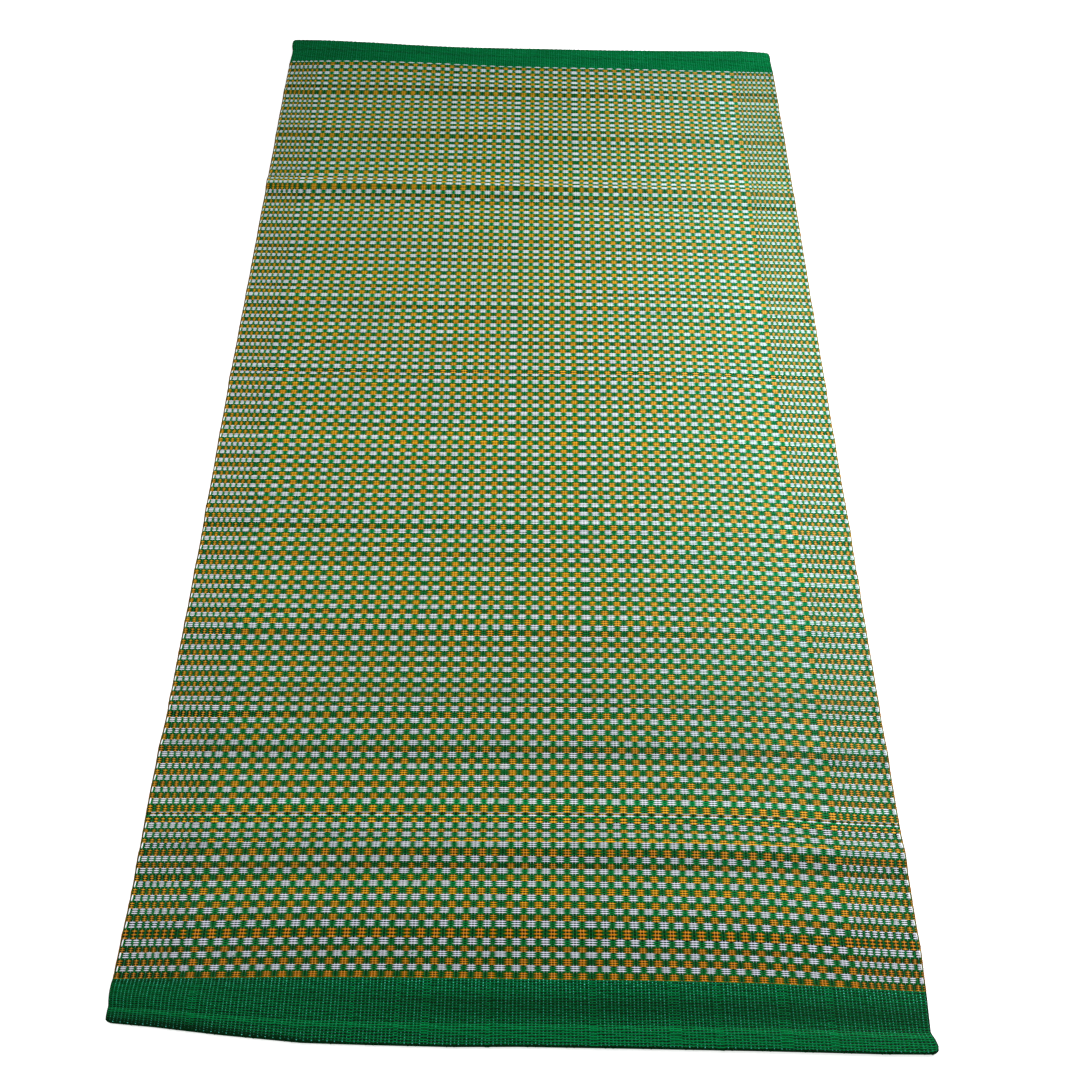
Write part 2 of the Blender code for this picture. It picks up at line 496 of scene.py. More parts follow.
@dataclass
class MatSurface:
    """The laid cloth: turns plan places into points in the frame."""

    # How far in from each selvedge the columns follow its wander
    edge_run: float = 34 * MM
    wander: float = 0.35 * MM
    ripple: float = 0.35 * MM
    slope_step: float = 0.15 * MM
    shift: Vector = field(default_factory=Vector)

    def __post_init__(self) -> None:
        """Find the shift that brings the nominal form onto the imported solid."""
        low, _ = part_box(NODE)
        left = min(row[1] for row in SIDES)
        near = min(row[1] for row in ENDS)
        self.shift = Vector((low.x - left, low.y - near, 0.0))

    def _across(self, x: np.ndarray, y: np.ndarray) -> np.ndarray:
        """Turn plan x into frame x: straight columns, with only the outer strips following the selvedges.

        Args:
            x, y: plan places.

        Returns:
            Frame x before the shift.
        """
        along, left, right = named_columns(SIDES)
        near_left = np.interp(y, along, left) - STRAIGHT_LEFT
        near_right = np.interp(y, along, right) - (STRAIGHT_LEFT + PLAN_WIDTH)
        fade_left = np.clip(1 - x / self.edge_run, 0, 1)
        fade_right = np.clip(1 - (PLAN_WIDTH - x) / self.edge_run, 0, 1)
        stations, leans = named_columns(COLUMN_SWAY)
        sway = self.wander * wave(y / 0.41 + x * 6.1) * wave(y / 0.17 + x * 2.3)
        sway = sway + np.interp(y, stations, leans) * (1 - fade_left) * (1 - fade_right)
        return STRAIGHT_LEFT + x + near_left * fade_left + near_right * fade_right + sway

    def _bow(self, x: np.ndarray, y: np.ndarray) -> np.ndarray:
        """Bend the rows smoothly through the five places of BOW_PLACES.

        Args:
            x, y: plan places.

        Returns:
            How far the row is bent along the mat at each place.
        """
        stations, *bends = named_columns(ROW_BOW)
        places = np.array(BOW_PLACES)
        last = len(places) - 1
        heights = [np.interp(y, stations, bend) for bend in bends]
        slopes = []
        for k in range(last + 1):
            low, high = max(k - 1, 0), min(k + 1, last)
            slopes.append((heights[high] - heights[low]) / (places[high] - places[low]))
        held = np.clip(x, places[0], places[-1])
        bow = np.zeros_like(y)
        for k in range(last):
            span = places[k + 1] - places[k]
            t = (held - places[k]) / span
            rise = (
                (2 * t**3 - 3 * t**2 + 1) * heights[k]
                + (t**3 - 2 * t**2 + t) * span * slopes[k]
                + (3 * t**2 - 2 * t**3) * heights[k + 1]
                + (t**3 - t**2) * span * slopes[k + 1]
            )
            bow = np.where((t >= 0) & (t <= 1), rise, bow)
        return bow + (x - held) * np.where(x < places[0], slopes[0], slopes[-1])

    @staticmethod
    def _rounded(x: np.ndarray, y: np.ndarray) -> tuple[np.ndarray, np.ndarray]:
        """Draw the square corners of the plan in to round ones.

        Args:
            x, y: plan places.

        Returns:
            The plan places with those in the corners moved inward.
        """
        side = np.where(x < PLAN_WIDTH / 2, 1.0, -1.0)
        end = np.where(y < MAT_LENGTH / 2, 1.0, -1.0)
        inset_x = CORNER_RADIUS - np.where(side > 0, x, PLAN_WIDTH - x)
        inset_y = CORNER_RADIUS - np.where(end > 0, y, MAT_LENGTH - y)
        corner = (inset_x > 0) & (inset_y > 0)
        draw = np.maximum(inset_x, inset_y) / np.maximum(np.hypot(inset_x, inset_y), 1e-9)
        move = np.where(corner, 1 - draw, 0.0)
        return x + side * inset_x * move, y + end * inset_y * move

    def floor_height(self, x: np.ndarray, y: np.ndarray) -> np.ndarray:
        """Work out how far the cloth stands off the floor: creases, lifted places and a slight ripple.

        Args:
            x, y: plan places.

        Returns:
            Height of the cloth's underside.
        """
        share = x / PLAN_WIDTH
        side = 2 * share - 1
        height = np.zeros_like(y)
        for left, middle, right, crest, half_width, left_share, right_share in CREASES:
            line = middle + 0.5 * (right - left) * side + (0.5 * (left + right) - middle) * side**2
            stands = crest * (left_share + (right_share - left_share) * share)
            height += soft_bump(y - line, half_width) * stands
        for centre, along, crest, reach_x, reach_y in LIFTS:
            height += crest * soft_bump(x + STRAIGHT_LEFT - centre, reach_x) * soft_bump(y - along, reach_y)
        waves = wave(y / 0.083 + 0.9 * x) * wave(x / 0.29 + 0.7 * y)
        return height + self.ripple * (0.5 + 0.5 * waves)

    def fold_height(self, y: np.ndarray) -> np.ndarray:
        """Work out the cloth's thickness: single cloth, folded hems, rounded ends.

        Args:
            y: distance along.

        Returns:
            Height of the cloth's top over its underside.
        """
        distance = np.minimum(y, MAT_LENGTH - y)
        fold = FOLD_RISE * smooth_step((FOLD_WIDTH + FOLD_RUN - distance) / FOLD_RUN)
        inward = np.clip(END_RADIUS - distance, 0, END_RADIUS)
        drop = END_RADIUS - np.sqrt(END_RADIUS**2 - inward**2)
        return CLOTH_THICKNESS + fold - drop

    def plan_point(self, x: np.ndarray, y: np.ndarray) -> tuple[np.ndarray, np.ndarray]:
        """Turn plan places into frame x and y, with the mat's corners rounded.

        Args:
            x, y: plan places.

        Returns:
            Frame x and frame y.
        """
        x, y = self._rounded(x, y)
        share = np.clip(x / PLAN_WIDTH, 0, 1)
        shares, near, far = named_columns(ENDS)
        near_in = np.interp(share, shares, near) * np.clip(1 - y / NEAR_HEM, 0, 1)
        far_in = np.interp(share, shares, far) * np.clip(1 - (MAT_LENGTH - y) / FAR_HEM, 0, 1)
        frame_y = y + near_in - far_in + self._bow(x, y) + self.shift.y
        return self._across(x, y) + self.shift.x, frame_y

    def place(self, x: np.ndarray, y: np.ndarray, lift: np.ndarray) -> np.ndarray:
        """Find points over the top of the cloth.

        Args:
            x, y: plan places.
            lift: height over the cloth's top, square to it along the mat.

        Returns:
            One row of x, y and z for each place.
        """
        frame_x, frame_y = self.plan_point(x, y)
        step = self.slope_step
        ahead = self.fold_height(np.minimum(y + step, MAT_LENGTH))
        behind = self.fold_height(np.maximum(y - step, 0.0))
        slope = (ahead - behind) / (2 * step)
        square = 1 / np.sqrt(1 + slope**2)
        height = self.floor_height(x, y) + self.fold_height(y) + lift * square
        return np.column_stack((frame_x, frame_y - lift * slope * square, height))

    def under(self, x: np.ndarray, y: np.ndarray, rise: np.ndarray) -> np.ndarray:
        """Points on the underside, rise above it."""
        return np.column_stack((*self.plan_point(x, y), self.floor_height(x, y) + rise))


def ribbon_faces(sections: int, wide: int) -> np.ndarray:
    """Join a ribbon's cross-sections.

    Args:
        sections: how many cross-sections it has.
        wide: how many points each section has.

    Returns:
        One row of four point numbers for each quad.
    """
    start = (np.arange(sections - 1)[:, None] * wide + np.arange(wide - 1)[None, :]).ravel()
    return np.column_stack((start, start + wide, start + wide + 1, start + 1))


def straw_form(
    tone: np.ndarray,
    half: np.ndarray | float = 1.0,
    offset: np.ndarray | float = 0.0,
    side: np.ndarray | float = 0.0,
) -> np.ndarray:
    """Pack the values that the materials read at each point.

    Args:
        tone: how light the straw is.
        half: half width of its block as a share of the straw map's reach, or a warp thread's tint.
        offset: how far its warp ends lie from the middle as such a share, or 1 for a hem's warp float.
        side: how strong the pale dot and painted highlight at its warp crossings are.

    Returns:
        One row of four values for each point.
    """
    return np.column_stack(np.broadcast_arrays(tone, half, offset, side))


class PieceMesh:
    """Gathers points and faces as arrays and makes one mesh object of them."""

    def __init__(self, name: str) -> None:
        """Start an empty piece."""
        self.name = name
        self.kinds: list[Straw] = []
        self.points: list[np.ndarray] = []
        self.straw: list[np.ndarray] = []
        self.form: list[np.ndarray] = []
        self.corners: list[np.ndarray] = []
        self.counts: list[np.ndarray] = []
        self.slots: list[np.ndarray] = []
        self.bake: list[np.ndarray] = []
        self.total = 0

    def add(
        self,
        kind: Straw,
        points: np.ndarray,
        faces: list[np.ndarray],
        straw: np.ndarray,
        form: np.ndarray,
        bake: np.ndarray | list[np.ndarray],
        face_slots: list[np.ndarray] | None = None,
    ) -> None:
        """Add one lot of points and faces.

        Args:
            kind: which straw they are.
            points: one row for each point.
            faces: arrays of point numbers, one array for each number of corners.
            straw: each point's place on its straw, for the materials.
            form: each point's row of straw_form.
            bake: each point's place on the piece's own texture map, or one array for each array of faces.
            face_slots: each face's kind number where the lot holds several kinds.
        """
        slot = self.slot_of(kind)
        for index, group in enumerate(faces):
            flat = group.reshape(-1)
            self.corners.append(flat + self.total)
            self.counts.append(np.full(len(group), group.shape[1]))
            self.bake.append(bake[index].reshape(-1, 2) if isinstance(bake, list) else bake[flat])
            self.slots.append(face_slots[index] if face_slots else np.full(len(group), slot))
        self.points.append(points)
        self.straw.append(straw)
        self.form.append(form)
        self.total += len(points)

    def lay(
        self,
        surface: MatSurface,
        kind: Straw,
        grid: tuple[np.ndarray, np.ndarray, np.ndarray],
        straw: tuple[np.ndarray | float, np.ndarray],
        form: np.ndarray,
        bake: np.ndarray,
        faces: list[np.ndarray] | None = None,
    ) -> None:
        """Add points that lie over the cloth, one line for each straw or cross-section.

        Args:
            surface: the laid cloth.
            kind: which straw they are.
            grid: plan x, plan y and height over the cloth.
            straw: each point's share along its straw, and its place across it, -1 to 1.
            form: each point's row of straw_form.
            bake: each point's place on the piece's own texture map.
            faces: the faces by number of corners, or nothing for one ribbon.
        """
        share, across = np.broadcast_arrays(*straw)
        places = np.column_stack((share.ravel(), (0.5 + 0.5 * across).ravel()))
        points = surface.place(*(part.ravel() for part in grid))
        self.add(kind, points, faces or [ribbon_faces(*grid[0].shape)], places, form, bake)

    def slot_of(self, kind: Straw) -> int:
        """Number of a kind's material slot, made when first asked for."""
        if kind not in self.kinds:
            self.kinds.append(kind)
        return self.kinds.index(kind)

    def build(self, finishes: Finishes) -> bpy.types.Object:
        """Make the object with its texture maps, attributes and materials.

        Args:
            finishes: the material of each kind.

        Returns:
            The new object, in the scene.
        """
        points, corners, counts = (np.concatenate(part) for part in (self.points, self.corners, self.counts))
        mesh = bpy.data.meshes.new(self.name)
        mesh.vertices.add(len(points))
        mesh.vertices.foreach_set("co", points.astype(np.float32).ravel())
        mesh.loops.add(len(corners))
        mesh.loops.foreach_set("vertex_index", corners.astype(np.int32))
        mesh.polygons.add(len(counts))
        starts = np.concatenate(([0], np.cumsum(counts)[:-1]))
        mesh.polygons.foreach_set("loop_start", starts.astype(np.int32))
        mesh.update(calc_edges=True)
        mesh.polygons.foreach_set("use_smooth", np.ones(len(counts), dtype=bool))
        mesh.polygons.foreach_set("material_index", np.concatenate(self.slots).astype(np.int32))
        maps = {"Straw": np.concatenate(self.straw)[corners], "OFBake": np.concatenate(self.bake)}
        for label, places in maps.items():
            layer = mesh.uv_layers.new(name=label)
            layer.data.foreach_set("uv", places.astype(np.float32).ravel())
        form = mesh.attributes.new("StrawForm", "FLOAT_COLOR", "POINT")
        form.data.foreach_set("color", np.concatenate(self.form).astype(np.float32).ravel())
        for kind in self.kinds:
            mesh.materials.append(finishes[kind])
        mesh.validate()
        piece = bpy.data.objects.new(self.name, mesh)
        bpy.context.scene.collection.objects.link(piece)
        return piece


@dataclass(frozen=True)
class BakeRows:
    """Texture places: one thin row for each pick, folded into a few columns."""

    left: float
    right: float
    rows: int
    columns: int = 3
    margin: float = 0.012
    # Half of a straw's height as a share of its row
    half_row: float = 0.38

    def places(self, xs: np.ndarray, across: np.ndarray, row: np.ndarray | int) -> np.ndarray:
        """Find the texture places of points.

        Args:
            xs: plan x, one line for each straw.
            across: share across the straw, -1 to 1, in the same form.
            row: each straw's row, or the one that all share.

        Returns:
            One row of u and v for each point.
        """
        rows_in_column = math.ceil(self.rows / self.columns)
        column, step = np.divmod(np.reshape(row, (-1, 1)), rows_in_column)
        share = (xs - self.left) / (self.right - self.left)
        u = (column + self.margin + share * (1 - 2 * self.margin)) / self.columns
        v = (step + 0.5 + self.half_row * across) / rows_in_column
        return np.column_stack((u.ravel(), np.clip(v, 0.0, 1.0).ravel()))


# A straw's place is kept as a share of this length either side of its block's middle
STRAW_MAP_REACH = 20 * MM
# A place on a coloured straw that is clear of crossings, holes and tips
PLAIN_SHARE = 0.55
# Height of a straw's edges and tips over the cloth's top
STRAW_FOOT = -0.10 * MM


@dataclass(frozen=True)
class FloatPattern:
    """Points and faces of a float, pointed at both ends."""

    # Along: 0 and 4 are its tips, 1 and 3 the ends of its widest part and 2 its middle
    stations: tuple[int, ...]
    across: tuple[int, ...]
    ridge: tuple[int, ...]
    triangles: tuple[tuple[int, ...], ...]
    quads: tuple[tuple[int, ...], ...] = ()

    def faces(self, number: int) -> list[np.ndarray]:
        """Number the faces of several floats.

        Args:
            number: how many floats there are.

        Returns:
            The triangles, then the quads where the pattern has any.
        """
        first = (np.arange(number) * len(self.stations))[:, None, None]
        groups = [np.array(group) for group in (self.triangles, self.quads) if group]
        return [(group + first).reshape(-1, group.shape[1]) for group in groups]

    def heights(self, ridge: np.ndarray, foot: float = STRAW_FOOT) -> np.ndarray:
        """Heights over the cloth, one line for each float."""
        heights = np.full((len(ridge), len(self.stations)), foot)
        heights[:, self.ridge] = ridge[:, None]
        return heights


class FloatShape(Enum):
    """How a float is built: flat with a long ridge, flat with one peak, or pointed from its middle."""

    LENS = FloatPattern(
        (0, 1, 1, 1, 3, 3, 3, 4),
        (0, -1, 0, 1, -1, 0, 1, 0),
        (2, 5),
        ((0, 1, 2), (0, 2, 3), (4, 7, 5), (5, 7, 6)),
        ((1, 4, 5, 2), (2, 5, 6, 3)),
    )
    TENT = FloatPattern(
        (0, 1, 1, 2, 3, 3, 4),
        (0, -1, 1, 0, -1, 1, 0),
        (3,),
        ((0, 1, 3), (1, 4, 3), (4, 6, 3), (6, 5, 3), (5, 2, 3), (2, 0, 3)),
    )
    DROP = FloatPattern(
        (0, 2, 2, 2, 4),
        (0, -1, 0, 1, 0),
        (2,),
        ((0, 1, 2), (0, 2, 3), (1, 4, 2), (2, 4, 3)),
    )


@dataclass(frozen=True)
class FloatForm:
    """Shape of one kind of float: first pick's place in picks, thickness in picks, and how it tapers."""

    first: float
    thick: float
    ridge: float
    # Share of the block's half width that is as wide as the straw gets
    flat: float
    tip: float


FLOAT_FORMS = {
    Straw.ORANGE: FloatForm(0.50, 0.39, 0.80 * MM, 0.42, 3.4 * MM),
    Straw.WHITE: FloatForm(0.50, 0.385, 0.82 * MM, 0.54, 3.5 * MM),
    Straw.FERN: FloatForm(0.95, 0.34, 0.52 * MM, 0.80, 3.2 * MM),
    Straw.LEAF: FloatForm(0.12, 0.36, 0.60 * MM, 0.85, 3.2 * MM),
}
# Floats with a smaller half width than this keep this share of it flat
NARROW_HALF = 3 * MM
NARROW_FLAT = 0.9
# How far a white band's near, middle and far picks reach past their block, as a share of the form's own tip
WHITE_REACH = (0.92, 0.80, 1.0)
# How much of the room beside a block a tip takes at most: as a rule, in a narrow orange block, and on the
# near, middle and far picks of a narrow white one
MOST_ROOM = 0.45
NARROW_ORANGE_ROOM = 0.40
NARROW_WHITE_ROOM = (0.46, 0.40, 0.50)
# How strong the pale dot and painted highlight at the warp crossings are on the near, middle and far picks
CROSSING_STRENGTH = (1.0, 0.3, 0.75)


@dataclass
class StrawRow:
    """Arrays for one lot of short straws: a float between two crossings, pointed at both ends."""

    surface: MatSurface
    left: np.ndarray
    right: np.ndarray
    along: np.ndarray
    tip: np.ndarray
    half_width: np.ndarray
    ridge: np.ndarray
    tone: np.ndarray
    end_offset: np.ndarray
    side: np.ndarray
    bake_row: np.ndarray

    def add(self, mesh: PieceMesh, kind: Straw, shape: FloatShape, bake: BakeRows) -> None:
        """Add the straws to a piece.

        Args:
            mesh: the piece.
            kind: which straw they are.
            shape: how each is built.
            bake: the piece's texture rows.
        """
        pattern = shape.value
        middle = (self.left + self.right) / 2
        half = (self.right - self.left) / 2
        flat = FLOAT_FORMS[kind].flat * half
        if shape is FloatShape.TENT:
            flat = np.where(half < NARROW_HALF, NARROW_FLAT * half, flat)
        stations = (self.left - self.tip, middle - flat, middle, middle + flat, self.right + self.tip)
        xs = np.column_stack([stations[k] for k in pattern.stations])
        across = np.tile(np.array(pattern.across, float), (len(half), 1))
        ys = self.along[:, None] + across * self.half_width[:, None]
        share = 0.5 + (xs - middle[:, None]) / (2 * STRAW_MAP_REACH)
        form = straw_form(self.tone, half / STRAW_MAP_REACH, self.end_offset / STRAW_MAP_REACH, self.side)
        mesh.lay(
            self.surface,
            kind,
            (xs, ys, pattern.heights(self.ridge)),
            (share, across),
            np.repeat(form, len(pattern.across), axis=0),
            bake.places(xs, across, self.bake_row),
            pattern.faces(len(half)),
        )


@dataclass
class FieldStrip:
    """The straws of one lengthwise strip of the checked field."""

    surface: MatSurface
    plan: WeavePlan
    number: int
    columns: list[Column]
    # Widths of the blocks just before and just after the strip
    before: float
    after: float
    # How far the orange straws begin before the white ones end
    overlap: float = 0.9 * MM
    # Blocks with a smaller width than this are narrow ones
    narrow: float = 6 * MM
    # How far the texture map reaches past the strip at either side
    map_margin: float = 6 * MM
    # Narrow orange blocks with less room than this beside them have shorter tips
    tight: float = 5 * MM
    # How far picks that run together reach over the block between them
    join_reach: float = 3.2 * MM

    def build(self, finishes: Finishes) -> bpy.types.Object:
        """Make the strip's floats and its thin green lines.

        Args:
            finishes: the material of each kind.

        Returns:
            The strip.
        """
        mesh = PieceMesh(f"field_straws_{self.number}")
        checked = (BandKind.ORANGE, BandKind.WHITE)
        rows = sum(2 * band.picks if band.kind in checked else 1 for band in self.plan.bands)
        left, right = self.columns[0].left, self.columns[-1].right
        bake = BakeRows(left - self.map_margin, right + self.map_margin, rows)
        random = np.random.default_rng(100 + self.number)
        floats: dict[tuple[Straw, FloatShape], list[np.ndarray]] = {}
        row = 0
        for band in self.plan.bands:
            if band.kind in (BandKind.LINE, BandKind.SEAM):
                self._add_line(mesh, band, row, bake, random)
                row += 1
                continue
            layers = (True, False) if band.kind in checked else (True,)
            for pick in range(band.picks):
                for coloured in layers:
                    self._gather(floats, band, pick, coloured, row, random)
                    row += 1
        for (kind, shape), lots in floats.items():
            StrawRow(self.surface, *np.concatenate(lots).T).add(mesh, kind, shape, bake)
        return mesh.build(finishes)

    def _gather(
        self,
        floats: dict[tuple[Straw, FloatShape], list[np.ndarray]],
        band: Band,
        pick: int,
        coloured: bool,
        row: int,
        random: np.random.Generator,
    ) -> None:
        """Work out one pick's floats and put them with others of their kind.

        Args:
            floats: the lots so far, by kind and shape, with a column for each array of StrawRow.
            band: the pick's band.
            pick: its number in the band.
            coloured: whether to make its coloured floats or its green ones.
            row: its texture row.
            random: the strip's own draws.
        """
        orange_band = band.kind is BandKind.ORANGE
        shows = orange_band if coloured else not orange_band
        chosen = [k for k, column in enumerate(self.columns) if column.orange is shows]
        if not chosen:
            return
        left, right, ends = (
            np.array([getattr(self.columns[k], name) for k in chosen]) for name in ("left", "right", "ends")
        )
        number = len(chosen)
        gaps = np.array([self._room(k) for k in chosen])
        if coloured:
            kind = Straw.ORANGE if orange_band or band.kind is BandKind.WARM_PICK else Straw.WHITE
        else:
            kind = Straw.FERN if orange_band else Straw.LEAF
        form = FLOAT_FORMS[kind]
        start = band.start - self.overlap if orange_band and band.picks > 1 else band.start
        end = band.end - self.overlap if kind is Straw.LEAF and band.picks > 1 else band.end
        pitch = (end - start) / band.picks
        along = start + (pick + form.first) * pitch
        place = 0 if pick == 0 else (2 if pick == band.picks - 1 else 1)
        middle = (left + right) / 2
        slim = (right - left) < self.narrow
        far = smooth_step(along / 1.3)
        thick = form.thick * (0.86 + 0.14 * smooth_step((along - 0.36) / 0.5)) * (1 - band.thin)
        reach = form.tip * random.uniform(0.8, 1.12, number)
        most = np.full(number, MOST_ROOM)
        if kind is Straw.WHITE:
            longer = 0.10 + 0.25 * smooth_step((middle - 0.5) / 0.4)
            reach = reach * WHITE_REACH[place] * (1.0 + longer * far)
            most = np.where(slim, NARROW_WHITE_ROOM[place], most)
        elif kind is Straw.ORANGE:
            reach = reach * (1.0 - 0.2 * smooth_step((along - 1.2) / 0.3))
            most = np.where(slim & (gaps < self.tight), NARROW_ORANGE_ROOM, most)
            joined = (middle > band.joined[0]) & (middle < band.joined[1]) & (pick == 0)
            left = left - np.where(joined, self.join_reach, 0.0)
            right = right + np.where(joined, self.join_reach, 0.0)
        tip = np.minimum(reach, most * gaps)
        nudge = random.normal(0.0, 0.22 * MM, (2, number))
        places = along + random.normal(0.0, 0.05 * MM, number)
        lit = 0.4 if band.kind is BandKind.WARM_PICK or (band.joined[1] > 0 and pick == 0) else 0.0
        tone = np.clip(0.5 + lit - band.shade + random.normal(0.0, 0.10, number), 0.02, 0.98)
        # How strong the crossings' pale dot and painted highlight are, weaker toward the far end
        side = np.clip(CROSSING_STRENGTH[place] * random.uniform(0.5, 1.1, number), 0, 1) * (1 - 0.5 * far)
        table = np.column_stack(
            (
                left + nudge[0],
                right + nudge[1],
                places,
                tip,
                thick * pitch * random.uniform(0.92, 1.06, number),
                form.ridge * random.uniform(0.85, 1.12, number),
                tone,
                np.where(ends > 1, END_SPREAD, 0.0),
                side,
                np.full(number, row),
            )
        )
        wide_shape = FloatShape.LENS if coloured else FloatShape.TENT
        slim_shape = FloatShape.TENT if kind is Straw.WHITE else FloatShape.DROP
        for shape, picked in ((wide_shape, ~slim), (slim_shape, slim)):
            if picked.any():
                floats.setdefault((kind, shape), []).append(table[picked])

    def _room(self, index: int) -> float:
        """Width of the narrower block beside this one."""
        widths = [self.before, *(column.width for column in self.columns), self.after]
        return min(widths[index], widths[index + 2])

    def _add_line(
        self, mesh: PieceMesh, band: Band, row: int, bake: BakeRows, random: np.random.Generator
    ) -> None:
        """Add one thin straw that runs on across the blocks.

        Args:
            mesh: the strip's piece.
            band: the line's band, a green line or the seam beside the near hem.
            row: its texture row.
            bake: the piece's texture rows.
            random: the strip's own draws.
        """
        xs = np.array([column.left for column in self.columns[::2]] + [self.columns[-1].right])
        sections = len(xs)
        along = band.middle + random.normal(0.0, 0.08 * MM, sections)
        half = 0.5 * (band.end - band.start) * random.uniform(0.75, 1.15, sections)
        across = np.tile(np.array((-1.0, 0.0, 1.0)), (sections, 1))
        grid_x = np.repeat(xs[:, None], 3, axis=1)
        grid_y = along[:, None] + across * half[:, None]
        low = np.full(sections, STRAW_FOOT)
        lifts = np.column_stack((low, 0.50 * MM * random.uniform(0.7, 1.1, sections), low))
        seam = band.kind is BandKind.SEAM
        tone = np.repeat(np.clip(random.normal(0.25 if seam else 0.45, 0.15, sections), 0, 1), 3)
        mesh.lay(
            self.surface,
            Straw.ORANGE if seam else Straw.LINE,
            (grid_x, grid_y, lifts),
            (PLAIN_SHARE if seam else grid_x / STRAW_MAP_REACH, across),
            straw_form(tone, offset=END_SPREAD / STRAW_MAP_REACH),
            bake.places(grid_x, across, row),
        )


@dataclass
class FieldStraws:
    """The whole checked field, cut into lengthwise strips."""

    surface: MatSurface
    plan: WeavePlan
    strips: int = 5
    # Room beside the field's first and last block
    edge_room: float = 3 * MM

    def build(self, finishes: Finishes) -> list[bpy.types.Object]:
        """Make every strip.

        Args:
            finishes: the material of each kind.

        Returns:
            The strips from left to right.
        """
        columns = self.plan.columns
        bounds = [round(k * len(columns) / self.strips) for k in range(self.strips + 1)]
        pieces = []
        for number, (low, high) in enumerate(zip(bounds, bounds[1:]), start=1):
            before = columns[low - 1].width if low else self.edge_room
            after = columns[high].width if high < len(columns) else self.edge_room
            strip = FieldStrip(self.surface, self.plan, number, columns[low:high], before, after)
            pieces.append(strip.build(finishes))
        return pieces


@dataclass
class WarpThreads:
    """The thin pale threads that run along the mat under the floats and show between them."""

    surface: MatSurface
    plan: WeavePlan
    half_width: float = 0.26 * MM
    lift: float = 0.34 * MM
    # How far a thread's own colour begins before its band and ends past it
    orange_margins: tuple[float, float] = (-0.35 * MM, -0.35 * MM)
    white_margins: tuple[float, float] = (0.9 * MM, 0.25 * MM)

    def _stations(self, orange: bool) -> tuple[np.ndarray, np.ndarray]:
        """Tint a thread along its run: 0 over orange, 0.5 over green and 1 over white.

        Args:
            orange: whether the thread runs under the orange blocks.

        Returns:
            Distances along and the tint at each.
        """
        own, other = (BandKind.ORANGE, BandKind.WHITE) if orange else (BandKind.WHITE, BandKind.ORANGE)
        before, past = self.orange_margins if orange else self.white_margins
        tint = 0.0 if orange else 1.0
        stations = [(FIELD_START, 0.5)]
        for band in self.plan.bands:
            if band.kind is own:
                stations.append((max(band.start - before, FIELD_START + 0.1 * MM), tint))
                stations.append((band.end + past, tint))
            elif band.kind is other:
                stations.append((band.middle, 0.5))
        if stations[-1][0] < FIELD_END - MM:
            stations.append((FIELD_END, 0.5))
        ys, tints = named_columns(tuple(stations))
        return ys, tints

    def build(self, finishes: Finishes) -> bpy.types.Object:
        """Make all threads as one piece of flat ribbons.

        Args:
            finishes: the material of each kind.

        Returns:
            The threads.
        """
        mesh = PieceMesh("warp_threads")
        stations = {True: self._stations(True), False: self._stations(False)}
        random = np.random.default_rng(31)
        threads = []
        for column in self.plan.columns:
            offsets = (-END_SPREAD, END_SPREAD) if column.ends > 1 else (0.0,)
            threads.extend((column.middle + offset, *stations[column.orange]) for offset in offsets)
        rows = BakeRows(0.0, MAT_LENGTH, len(threads), columns=1)
        for index, (middle, ys, tint) in enumerate(threads):
            sections = len(ys)
            xs = middle + random.normal(0.0, 0.10 * MM, sections)
            grid_x = np.column_stack((xs + self.half_width, xs - self.half_width))
            grid_y = np.repeat(ys[:, None], 2, axis=1)
            across = np.tile(np.array((-1.0, 1.0)), (sections, 1))
            tone = np.repeat(np.clip(random.normal(0.5, 0.15, sections), 0, 1), 2)
            mesh.lay(
                self.surface,
                Straw.WARP,
                (grid_x, grid_y, np.full(grid_x.shape, self.lift)),
                (grid_y / STRAW_MAP_REACH, across),
                straw_form(tone, np.repeat(tint, 2)),
                rows.places(grid_y, across, index),
            )
        return mesh.build(finishes)


